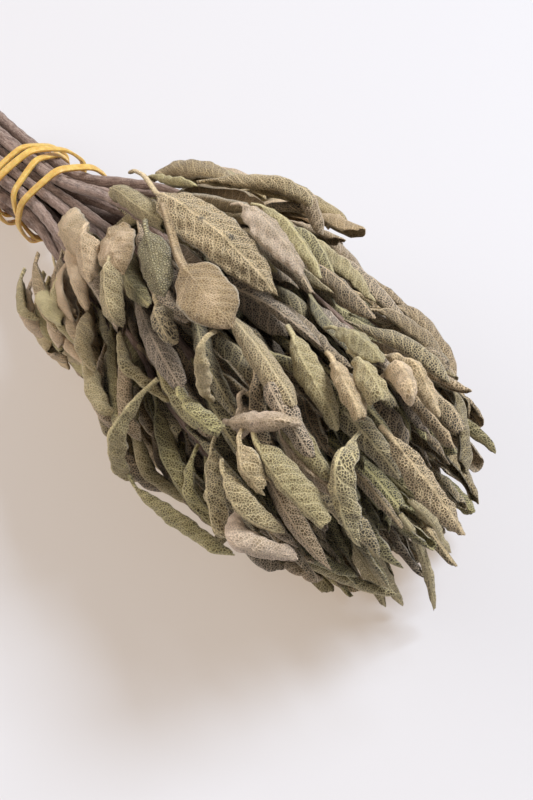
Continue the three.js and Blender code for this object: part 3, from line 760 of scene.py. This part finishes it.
def leafLookFor(leaf):
    def pick(low, high, use):
        return between(low, high, leaf["sprig"], leaf["number"], use)

    form, rootX = pick(0, 1, 20), leaf["points"][0][0]
    if form < 0.42:  # rolled up tight, half curled, nearly flat or twisted
        bend, half, unroll, twist = pick(2.1, 3.0, 21), 2.55, -0.5, 0.5
    elif form < 0.76:
        bend, half, unroll, twist = pick(1.4, 2.2, 21), 1.8, 0.2, 0.5
    elif form < 0.9:
        bend, half, unroll, twist = pick(0.7, 1.2, 21), 1.6, 0.5, 0.3
    else:
        bend, half, unroll, twist = pick(1.2, 2.0, 21), 1.8, 0.3, 2.2
    wider = mix(1.35, 1, ease((rootX - 25) / 50))  # towards the band
    return {
        "seed": leaf["sprig"] * 31 + leaf["number"], "stalk": leaf["stalk"], "blade": leaf["blade"],
        "half": leaf["roll"] * half * pick(0.9, 1.1, 22) * wider, "bend": bend, "unroll": unroll * pick(0.3, 1.4, 23),
        "uneven": pick(-0.35, 0.35, 24), "fold": pick(0.0, 0.45, 25), "rim": pick(0.0, 1.3, 26),
        "twist": twist * pick(-1, 1, 27), "blunt": 1.0 if pick(0, 1, 39) < 0.24 else pick(0.0, 0.5, 28),
        "torn": pick(0.0, 0.03, 29), "crumple": pick(0.15, 0.4, 30), "ruffle": pick(0.1, 0.5, 31),
        "ruffles": pick(0.3, 0.6, 32), "hook": pick(-1.0, 3.5, 33), "hue": pick(0, 1, 38),
        "tone": pick(0.05, 0.75, 34) + paler(rootX), "veins": pick(0.5, 1.1, 35), "pebble": pick(0.3, 1.0, 36),
        # leaves deep inside the bunch get a darker tone: painted shade, fading out towards its surface
        "paintedShade": -0.85 * easeAll(1.5 - 1.7 * crowding(leaf["points"])), "faceUp": 1 if pick(0, 1, 37) < 0.22 else 0,
    }


def overBareStems(leaf):  # the stems beside the band show from above
    spot = leaf["points"][6]
    turn = math.degrees(aroundBunch(spot)[1])
    return spot[0] < (62 if turn > 75 else 46) and 15 < turn < 130


def ordinaryLeaf(leaf):
    key = (leaf["sprig"], leaf["number"])
    back = leafBack(leaf["points"], 1.8 * (chance(*key, 17) - 0.5))
    look = leafLookFor(leaf)
    if look["faceUp"]:
        back = -back
    return makeLeaf(leaf["points"], back, look)


stemLook = {
    "sides": 12, "step": 1.25,
    "swell": 0.2, "swellLength": 1.7,  # at each leaf's root
    # both ends are closed by smaller rings (share of the girth, how far they stand out)
    "butt": [(0.03, -0.25), (0.3, -0.1), (0.42, 0.05), (0.88, 0.1), (0.99, 0.02)],
    "buttWood": [1, 1, 0.5, 0.5, 0.2],  # pith, wood and bark from the middle outward
    "tip": [(0.8, 0.4), (0.4, 0.7), (0.03, 0.8)],
}


def makeStem(stem, leaves, look):
    points, radii = stem["points"], np.array(stem["radii"])
    length = np.linalg.norm(np.diff(points, axis=0), axis=1).sum()
    rows = int(length / look["step"])
    t = np.linspace(0, 1, rows)
    place, along = splinePoint(points, t), splineHeading(points, t)
    r = np.interp(t * (len(points) - 1), np.arange(len(points)), radii)
    for leaf in leaves:
        gap = (t - leaf["rootBead"] / (len(points) - 1)) * length
        r = r + look["swell"] * np.exp(-((gap / look["swellLength"]) ** 2))
    side = unit(np.cross(along, [0, 0, 1]))
    up = np.cross(side, along)
    turn = np.linspace(0, math.tau, look["sides"], endpoint=False)
    spin = 0.4 * np.sin(t * 5 + stem["sprig"])[:, None]
    square = 1 + 0.1 * np.cos(4 * turn) + 0.03 * np.sin(3 * turn + 9 * t[:, None] + stem["sprig"])
    wobble = 1 + 0.05 * np.sin(t * length * 0.9 + stem["sprig"])[:, None]
    out = (r[:, None] * square * wobble)[..., None]
    angle = (turn + spin)[..., None]
    ring = place[:, None] + (side[:, None] * np.cos(angle) + up[:, None] * np.sin(angle)) * out
    butt = [place[0] + (ring[0] - place[0]) * share - along[0] * bulge for share, bulge in look["butt"]]
    tip = [place[-1] + (ring[-1] - place[-1]) * share + along[-1] * bulge for share, bulge in look["tip"]]
    rings = np.concatenate([butt, ring, tip])
    shape = rings.shape[:2]
    cut = np.broadcast_to(np.concatenate([look["buttWood"], np.zeros(rows + len(tip))])[:, None], shape)
    lengths = np.concatenate([np.zeros(len(butt)), t * length, np.full(len(tip), length)])[:, None]
    spots = [np.broadcast_to(values, shape) for values in (lengths, turn * r.mean(), stem["sprig"] * 5.3)]
    attributes = {"stemPlace": threes(*spots), "stemCut": threes(cut, cut, cut)}
    quads = gridQuads(len(rings), look["sides"], wrap=True)
    return rings.reshape(-1, 3), quads, attributes


steepest = 2.5  # most that a midrib bends inward from one of its points to the next
tuck = 2  # how far a base goes down between the leaves beneath


# A leaf's midrib pulled tight over the beads beneath it, given by their places p and radii r.
def restingMidrib(p, r, leaf, last=8):
    share = np.arange(last + 1) / last
    xs = mix(leaf["at"][0], leaf["to"][0], share)
    turns = np.radians(mix(leaf["at"][1], leaf["to"][1], share))
    reach, direction = aroundBunch(p)
    window = np.maximum(r, 0.5) + 3
    out = []
    for x, turn in zip(xs, turns):
        lean = direction - turn
        near = (np.abs(p[:, 0] - x) <= window) & (np.cos(lean) > 0) & (reach * np.abs(np.sin(lean)) < window)
        out.append((reach + r)[near].max(initial=0) + layout["broadThickness"])
    for k in range(1, last + 1):
        out[k] = max(out[k], out[k - 1] - steepest)
    for k in range(last - 1, -1, -1):
        out[k] = max(out[k], out[k + 1] - steepest)
    for _ in range(12):
        for k in range(1, last):
            out[k] = max(out[k], (out[k - 1] + out[k + 1]) / 2)
    out[0] -= tuck
    out = np.array(out)
    return np.stack([xs, out * np.cos(turns), middleHeight(xs) + out * np.sin(turns)], 1)


def outwardAt(p):
    return unit(np.stack([0 * p[..., 0], p[..., 1], p[..., 2] - middleHeight(p[..., 0])], -1))


def addBeads(p, r, midrib, width, thickness):
    side = np.cross(outwardAt(midrib), [1.0, 0, 0])
    added = [midrib + side * share * width for share in (-0.35, 0, 0.35)]
    return np.concatenate([p, *added]), np.concatenate([r, np.full(3 * len(midrib), thickness)])


def pathLength(points):
    return np.linalg.norm(np.diff(points, axis=0), axis=1).sum()


def evenly(points, count):
    lengths = np.concatenate([[0], np.linalg.norm(np.diff(points, axis=0), axis=1).cumsum()])
    return np.stack([np.interp(np.linspace(0, lengths[-1], count), lengths, points[:, k]) for k in range(3)], 1)


def halfFor(wide, bend):  # half the flat width of a leaf that looks this wide once it is curled
    return wide / 2 * bend / math.sin(min(bend, math.pi / 2))


# thin leaves laid over the others like shingles, from the tips back to the band
shingles = {"count": 210, "length": (22, 36), "wide": (4.6, 7.8), "sway": 16, "sink": 4.6, "width": 8, "thickness": 0.4}


def shingleLeaf(number, look):
    def pick(low, high, use):
        return between(low, high, 200 + number, 2, use)

    near = chance(200 + number, 2, 1) < 0.68
    turn = pick(95, 238, 2) if near else pick(-60, 95, 2)
    start = mix(150, 2, (number / look["count"]) ** 0.8)
    onTop = math.exp(-(((turn - 98) / 36) ** 2))
    start = max(start, 84 * onTop, 40 if 15 < turn < 95 else 0)
    drop = 14 * math.sin(math.radians(turn - 90)) * ease((start - 20) / 60)  # tips sag towards the table
    length = pick(*look["length"], 3) * mix(0.8, 1, ease(start / 40))
    tip = (start + length * 0.92, turn + drop + look["sway"] * pick(-1, 1, 5))
    bend = pick(1.3, 2.9, 4)
    return {
        "at": (start, turn), "to": tip, "seed": 400 + number, "stalk": pick(3, 7, 6), "bend": bend,
        "half": halfFor(pick(*look["wide"], 7), bend), "fold": pick(0.0, 0.4, 8), "rim": pick(0.0, 1.2, 9),
        "unroll": pick(-0.5, 0.5, 10), "uneven": pick(-0.3, 0.3, 11), "twist": pick(-0.9, 0.9, 12),
        "blunt": 1.0 if pick(0, 1, 22) < 0.32 else pick(0.0, 0.5, 13), "torn": pick(0.0, 0.03, 14),
        "crumple": pick(0.15, 0.4, 15), "ruffle": pick(0.1, 0.4, 16), "hook": pick(-1.0, 4.0, 17),
        "tone": pick(0.1, 0.75, 18) + paler(start), "hue": pick(0, 1, 19), "veins": pick(0.5, 1.1, 20),
        "pebble": pick(0.3, 1.0, 21), "lift": 0.6,
    }


def keptClear(number, start, turn):
    underBroad = 66 < turn < 134 and start < 126
    overStems = (turn > 140 and start < 26) or (turn < -15 and start < 48)
    thinnedOut = start > 84 and number % 2
    return underBroad or overStems or thinnedOut


def nearestSprig(spot):
    return np.argmin(np.linalg.norm((stemMiddles - spot)[:, 1:], axis=1))


settledPoints = np.concatenate([c["points"] for c in chains])
settledRadii = np.concatenate([c["radii"] for c in chains]).astype(float)
p, r = settledPoints, settledRadii - shingles["sink"]
foliageParts = [[ordinaryLeaf(leaf) for leaf in leaves if not overBareStems(leaf)] for _, leaves in sprigs]
stemMiddles = np.array([stem["points"][min(14, len(stem["points"]) - 1)] for stem, _ in sprigs])
for number in range(shingles["count"]):
    look = shingleLeaf(number, shingles)
    if keptClear(number, *look["at"]):
        continue
    midrib = restingMidrib(p, r, look)
    look["blade"] = pathLength(midrib) - look["stalk"]
    foliageParts[nearestSprig(midrib[0])].append(makeLeaf(midrib, outwardAt(midrib[5]), look))
    p, r = addBeads(p, r, midrib, shingles["width"], shingles["thickness"])

# a few at the front hang down to the table, and one end shows from under the head
hungLeaves = [
    {"path": [(158, -12, 40), (160, -10, 26), (166, -7, 13), (171, -7, 4)], "wide": 7.0, "bend": 1.6, "tone": 0.5},
    {"path": [(167, -12, 38), (169, -8, 22), (171, -4, 10), (174, -2, 4)], "wide": 5.5, "bend": 1.8, "tone": 0.6},
    {"path": [(171, -4, 48), (174, 0, 36), (178, 2, 22), (182, 2, 8)], "wide": 3.4, "bend": 2.2, "tone": 0.55},
    {"path": [(170, 0, 50), (172, 6, 38), (173, 10, 26), (174, 14, 16)], "wide": 4.5, "bend": 2.0, "tone": 0.6},
    {"path": [(130, -20, 9), (128, -31, 6), (127, -36, 3.5), (127, -42, 3)], "wide": 4.5, "bend": 1.8, "tone": 0.2},
]
hungFacing = np.array([0.48, -0.38, 0.79])
for number, hung in enumerate(hungLeaves):
    path = evenly(splinePoint(np.array(hung["path"], float), np.linspace(0, 1, 30)), 10)
    look = {
        "seed": 700 + number, "stalk": 2.0, "blade": pathLength(path) - 2.0, "bend": hung["bend"],
        "half": halfFor(hung["wide"], hung["bend"]), "fold": 0.2, "rim": 0.5, "tone": hung["tone"], "hue": 0.35,
        "blunt": 0.15, "crumple": 0.2, "ruffle": 0.2, "veins": 0.9, "pebble": 0.6,
        "twist": between(-0.8, 0.8, number, 3, 40),
    }
    foliageParts[nearestSprig(path[0])].append(makeLeaf(path, hungFacing, look))
print("shingle leaves laid")

for i, (stem, leaves) in enumerate(sprigs):
    node = f"sprig_{i + 1:02d}"
    foliage = meshObject(f"foliage_{i + 1:02d}", *mergeParts(foliageParts[i]), leafFelt)
    stick = meshObject(f"stem_{i + 1:02d}", *makeStem(stem, leaves, stemLook), stemBark)
    for piece in (foliage, stick):
        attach(piece, "root")
        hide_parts(node)
print("sprigs built")

# Broad outer leaves, each lying on whatever is under it. at is the base and to the tip: millimetres past
# the band, and degrees round the bunch from +Y over the top. room is how much width it takes from the
# leaves laid after it and wide is how wide it looks once it is curled. raised lifts it, and lead and bare
# give it a long stalk from further back.
def broad(at, to, room, wide, tone, hue, bend, **more):
    return {"at": at, "to": to, "room": room, "wide": wide, "tone": tone, "hue": hue, "bend": bend, **more}


broadLeaves = {
    "grey_leaf": broad((88, 83), (118, 83), 12, 12.5, 0.86, 0.9, 0.8, pebble=1.2, raised=3.0),
    "veined_leaf": broad((76, 101), (118, 94), 16, 16.5, 0.52, 0.56, 0.5,
        spots=[(0.4, 0.0), (0.58, -1.7)], rim=0.5, veins=1.2, blunt=0.0, raised=2.6, lead=(50, 92), bare=2, uneven=0.3,
    ),
    "brown_leaf": broad((96, 124), (111, 130), 7, 6, 0.2, 0.5, 2.4),
    "pebbled_leaf": broad((80, 110), (103, 122), 12, 10.5, 0.44, 0.1, 0.5, pebble=2.4, veins=0.15, raised=2.6, rim=0.4),
    "round_leaf": broad((98, 112), (125, 115), 18, 15, 0.66, 0.66, 0.4,
        rim=0.3, blunt=0.6, veins=0.35, round=0.9, raised=3.6, lead=(77, 101), bare=9, stalkHalf=0.55, crumple=0.15,
    ),
    "wrinkled_leaf": broad((62, 117), (85, 127), 13, 14.5, 0.84, 0.68, 0.6,
        crumple=0.4, sway=0.0, jag=0.0, round=0.4, veins=0.4, raised=3.5, ruffle=0.2,
    ),
    "side_leaf": broad((75, 124), (93, 141), 12, 11.5, 0.7, 0.4, 1.0, raised=2.5),
    "far_leaf": broad((56, 123), (74, 139), 10, 11, 0.9, 0.7, 0.8, raised=2.5),
    "folded_leaf": broad((110, 146), (112, 192), 10, 8.5, 0.66, 0.3, 1.3, fold=0.6, blunt=0.0),
    "ragged_leaf": broad((160, 108), (180, 146), 10, 8.5, 0.42, 0.3, 1.2, torn=0.08, veins=1.2),
    "front_leaf": broad((162, 99), (192, 99), 10, 8, 0.42, 0.6, 1.3, veins=1.2),
    "pointed_leaf": broad((129, 130), (139, 142), 7, 6.5, 0.8, 0.9, 1.2, blunt=0.0),
    "cross_leaf": broad((131, 143), (153, 121), 5, 5.2, 0.8, 0.9, 2.7, veins=0.5),
    "crescent_leaf": broad((122, 119), (127, 139), 5, 3.6, 0.85, 0.4, 2.2, blunt=0.0, veins=0.3),
    "hooked_leaf": broad((125, 98), (155, 113), 9, 7.5, 0.7, 0.3, 1.9, hook=5.0),
    "rolled_leaf": broad((138, 94), (162, 107), 8, 6.5, 0.8, 0.6, 2.6, blunt=0.6),
    "pair_leaf": broad((142, 88), (163, 98), 8, 6.5, 0.7, 0.3, 2.4, blunt=0.8),
    "high_leaf": broad((150, 81), (168, 91), 8, 7, 0.9, 0.7, 1.9, blunt=0.2),
    "rough_leaf": broad((130, 84), (154, 87), 10, 8.5, 0.62, 0.2, 1.2, pebble=1.6),
    "edge_leaf": broad((143, 74), (168, 73), 8, 6.5, 0.75, 0.6, 1.7, blunt=0.1),
    "long_leaf": broad((144, 134), (174, 141), 10, 8, 0.6, 0.25, 2.2, blunt=0.7),
    "torn_leaf": broad((141, 136), (158, 145), 9, 7.5, 0.78, 0.5, 1.2, torn=0.1),
    "bent_leaf": broad((143, 146), (166, 153), 8, 6.5, 0.6, 0.4, 1.9, blunt=0.0),
    "curled_leaf": broad((148, 160), (172, 156), 9, 7.5, 0.95, 0.95, 1.8, blunt=0.2),
    "low_leaf": broad((130, 152), (154, 168), 9, 7.5, 0.5, 0.4, 1.5, blunt=0.1),
    "rim_leaf": broad((114, 182), (152, 182), 9, 7.5, 0.6, 0.1, 1.7, blunt=0.2),
    "tube_leaf": broad((118, 142), (136, 142), 6, 5.5, 0.45, 0.0, 2.7, blunt=1.0),
    "upper_leaf": broad((90, 76), (120, 77), 10, 8.5, 0.75, 0.2, 1.3),
    "back_leaf": broad((84, 40), (122, 34), 14, 9, 0.7, 0.3, 1.5, raised=-6.0),
    "near_leaf": broad((38, 170), (68, 163), 10, 7.5, 0.8, 0.7, 1.6, raised=-8.0),
}


def broadLook(leaf, number):
    def pick(low, high, use):
        return between(low, high, 60 + number, 1, use)

    look = {
        "seed": 900 + number, "stalk": 5.0, "half": halfFor(leaf["wide"], leaf["bend"]), "raised": 0.8,
        "fold": pick(0.0, 0.25, 1), "rim": pick(0.5, 1.6, 2), "unroll": pick(-0.3, 0.5, 3),
        "uneven": pick(-0.25, 0.25, 4), "twist": pick(-0.5, 0.5, 5), "blunt": pick(0.0, 0.4, 6),
        "torn": pick(0.0, 0.015, 7), "crumple": pick(0.2, 0.45, 8), "ruffle": pick(0.1, 0.35, 9), "ruffles": 0.45,
        "hook": pick(0.0, 2.0, 10), "veins": 0.9, "pebble": 0.8, "jag": 0.12, "lift": 0.75,
    }
    return {**look, **leaf}


p, r = settledPoints, settledRadii
for number, (name, leaf) in enumerate(broadLeaves.items()):
    midrib = restingMidrib(p, r, leaf)
    look = broadLook(leaf, number)
    path = midrib + look["raised"] * outwardAt(midrib)
    if "lead" in leaf:  # on a long stalk that lies over its neighbours
        lead = restingMidrib(p, r, {"at": leaf["lead"], "to": leaf["at"]}, last=6)[:-1]
        path = evenly(np.concatenate([lead, path[1:]]), 15)
        look["stalk"] = pathLength(lead) + leaf["bare"]
    look["blade"] = pathLength(path) - look["stalk"]
    points, quads, attributes = makeLeaf(path, outwardAt(midrib[5]), look, rows=90, columns=41, relief=0.12)
    sheet = meshObject(name.replace("leaf", "blade"), points, quads, attributes, leafFelt)
    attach(sheet, "root")
    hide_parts(name)
    p, r = addBeads(p, r, midrib, leaf["room"], layout["broadThickness"])
print("broad leaves built")

for number, leaf in enumerate(pressedLeaves):
    a = np.linspace(0, leaf["length"], 9)
    spots = pressedSpot(leaf, a, 0 * a)
    midrib = np.column_stack([spots, 0.55 + 0.1 * np.sin(a * 0.3 + number)])
    look = {
        "seed": 800 + number, "stalk": 1.0, "blade": leaf["length"] - 1.0, "half": leaf["width"] / 2, "fold": 0.0,
        "bend": 0.06, "rim": 0.1, "crumple": 0.05, "ruffle": 0.1, "tone": 0.3, "veins": 0.8, "pebble": 0.8,
        "stalkHalf": 0.5, "waver": 0.02,
    }
    points, quads, attributes = makeLeaf(midrib, np.array([0, 0, 1.0]), look, rows=50, columns=21, relief=0.05)
    points[:, 2] = np.maximum(points[:, 2], 0.0)
    sheet = meshObject(f"pressed_{number + 1}", points, quads, attributes, leafFelt)
    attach(sheet, "root")
    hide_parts(f"pressed_leaf_{number + 1}")
print("pressed leaves laid")

bandLook = {
    "width": 2.2, "thick": 1.0, "corner": 0.28, "turns": 4, "stack": 1.35, "loose": 0.3, "steps": 440,
    "twist": 0.22, "squeeze": 0.06, "color": (228, 194, 112), "deep": (208, 166, 84),
}


# how far out a stretched band stands here, since it runs straight from one stem to the next
def stretchedRadius(stems, x, turn, middle):
    centres, radii = [], []
    for stem in stems:
        points = stem["points"]
        k = max(1, int(np.argmax(points[:, 0] > x)))
        share = (x - points[k - 1, 0]) / (points[k, 0] - points[k - 1, 0])
        centres.append(mix(points[k - 1], points[k], share))
        radii.append(stem["radii"][k])
    centres, radii = np.array(centres), np.array(radii)
    lean = np.arange(-1.2, 1.21, 0.1)[:, None]
    most = centres[:, 1] * np.cos(turn + lean) + (centres[:, 2] - middle) * np.sin(turn + lean) + radii
    return (most.max(axis=1) / np.cos(lean[:, 0])).min()


def bandMaterial(look):
    material, tree, shader = newMaterial("amberRubber", {
        "Roughness": 0.42, "Specular IOR Level": 0.45, "Subsurface Weight": 0.35, "Subsurface Scale": 0.0015,
        "Subsurface Radius": (1.0, 0.55, 0.2),
    })
    place = surfacePlace(tree, "stemPlace")
    powder = ramp(tree, noise(tree, place, 0.6, 4.0, 0.7), 0.35, 0.7)
    tree.links.new(blendColor(tree, powder, rgb(*look["deep"]), rgb(*look["color"])), shader.inputs["Base Color"])
    addBump(tree, shader, noise(tree, place, 2.4, 3.0, 0.6), 0.5, 0.0001)
    return material


def bandProfile(look):  # a flat strip with rounded corners
    corner, profile = look["corner"], []
    w, h = look["width"] / 2 - corner, look["thick"] / 2 - corner
    for x, y, start in ((w, h, 0), (-w, h, 90), (-w, -h, 180), (w, -h, 270)):
        for angle in np.radians(start + np.array([0, 30, 60, 90])):
            profile.append((x + corner * math.cos(angle), y + corner * math.sin(angle)))
    return np.array(profile)


def makeBand(stems, look):
    t = np.linspace(0, math.tau, look["steps"], endpoint=False)
    xs = -13 + 5.5 * (1 + np.cos(t)) ** 2 + 3 * np.sin(t)
    turns, middle = look["turns"] * t, middleHeight(xs)
    out = np.array([stretchedRadius(stems, x, turn, m) for x, turn, m in zip(xs, turns, middle)])
    out = sum(np.roll(out, k) for k in (2, 1, 0, -1, -2)) / 5
    out = out + look["stack"] * (1 + np.sin(t)) + look["thick"] / 2 + look["loose"]
    path = np.stack([xs, out * np.cos(turns), middle + out * np.sin(turns)], 1)
    along = unit(np.roll(path, -1, axis=0) - np.roll(path, 1, axis=0))
    side = unit(np.cross(along, outwardAt(path)))
    up = np.cross(side, along)
    roll = look["twist"] * np.sin(3 * t + 0.5)[:, None]
    side, up = side * np.cos(roll) + up * np.sin(roll), up * np.cos(roll) - side * np.sin(roll)
    profile = bandProfile(look)
    squeeze = 1 + look["squeeze"] * np.sin(7 * t)[:, None, None]
    rings = path[:, None] + side[:, None] * profile[:, :1] * squeeze + up[:, None] * profile[:, 1:] / squeeze
    shape = rings.shape[:2]
    quads = gridQuads(shape[0] + 1, shape[1], wrap=True) % (shape[0] * shape[1])
    length = np.linalg.norm(np.diff(path, axis=0, append=path[:1]), axis=1).cumsum()
    spots = [np.broadcast_to(values, shape) for values in (length[:, None], profile[:, 0], profile[:, 1])]
    return rings.reshape(-1, 3), quads, {"stemPlace": threes(*spots)}


band = meshObject("band", *makeBand([stem for stem, _ in sprigs], bandLook), bandMaterial(bandLook))
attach(band, "root")
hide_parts("rubber_band")
print("band wound")

# the table glows a little: painted warm light that lifts and warms its shadows, for the warm light that comes back up
# from it
tableLook = {"size": 4.0, "color": (155, 166, 181), "glow": (1.0, 0.77, 0.57, 1), "glowPower": 0.415}
table = bpy.data.objects.new("table", bpy.data.meshes.new("table"))
edge = tableLook["size"] / 2
table.data.from_pydata([(-edge, -edge, 0), (edge, -edge, 0), (edge, edge, 0), (-edge, edge, 0)], [], [(0, 1, 2, 3)])
paper = {
    "Roughness": 0.8, "Base Color": rgb(*tableLook["color"]),
    "Emission Color": tableLook["glow"], "Emission Strength": tableLook["glowPower"],
}
table.data.materials.append(newMaterial("paper", paper)[0])
scene.collection.objects.link(table)

lightLook = {
    "window": {"power": 19.0, "size": 0.5, "at": (0.2, 0.65, 1.05), "color": (0.94, 0.97, 1.0)},
    "wall": {"power": 6.5, "size": 0.8, "at": (-0.75, -0.6, 0.5), "color": (1.0, 0.88, 0.76)},
    "sky": (0.98, 0.985, 1.0),
    "skyPower": 0.32,
}
low, high = cadBox
middle = (Vector(low) + Vector(high)) / 2
for name in ("window", "wall"):
    look = lightLook[name]
    lamp = bpy.data.lights.new(name, "AREA")
    lamp.energy, lamp.size, lamp.color = look["power"], look["size"], look["color"]
    placed = bpy.data.objects.new(name, lamp)
    scene.collection.objects.link(placed)
    placed.location = middle + Vector(look["at"])
    placed.rotation_euler = (middle - placed.location).to_track_quat("-Z", "Y").to_euler()

world = bpy.data.worlds.new("room")
scene.world = world
world.use_nodes = True
background = world.node_tree.nodes["Background"]
background.inputs["Color"].default_value = (*lightLook["sky"], 1)
background.inputs["Strength"].default_value = lightLook["skyPower"]

cameraLook = {
    "lens": 85, "sensor": 36, "distance": 0.54, "azimuth": 51.37, "elevation": 52.22, "aim": (109.9, -0.2, 32.4),
}
camera = bpy.data.objects.new("camera", bpy.data.cameras.new("camera"))
scene.collection.objects.link(camera)
scene.camera = camera
camera.data.lens = cameraLook["lens"]
camera.data.sensor_width = cameraLook["sensor"]
azimuth, elevation = math.radians(cameraLook["azimuth"]), math.radians(cameraLook["elevation"])
away = Vector((math.sin(azimuth) * math.cos(elevation), -math.cos(azimuth) * math.cos(elevation), math.sin(elevation)))
camera.location = Vector((np.array(cameraLook["aim"]) + shift) * mm) + away * cameraLook["distance"]
camera.rotation_euler = (-away).to_track_quat("-Z", "Y").to_euler()
scene.view_settings.view_transform = "Standard"
print("table, lamps and camera set")
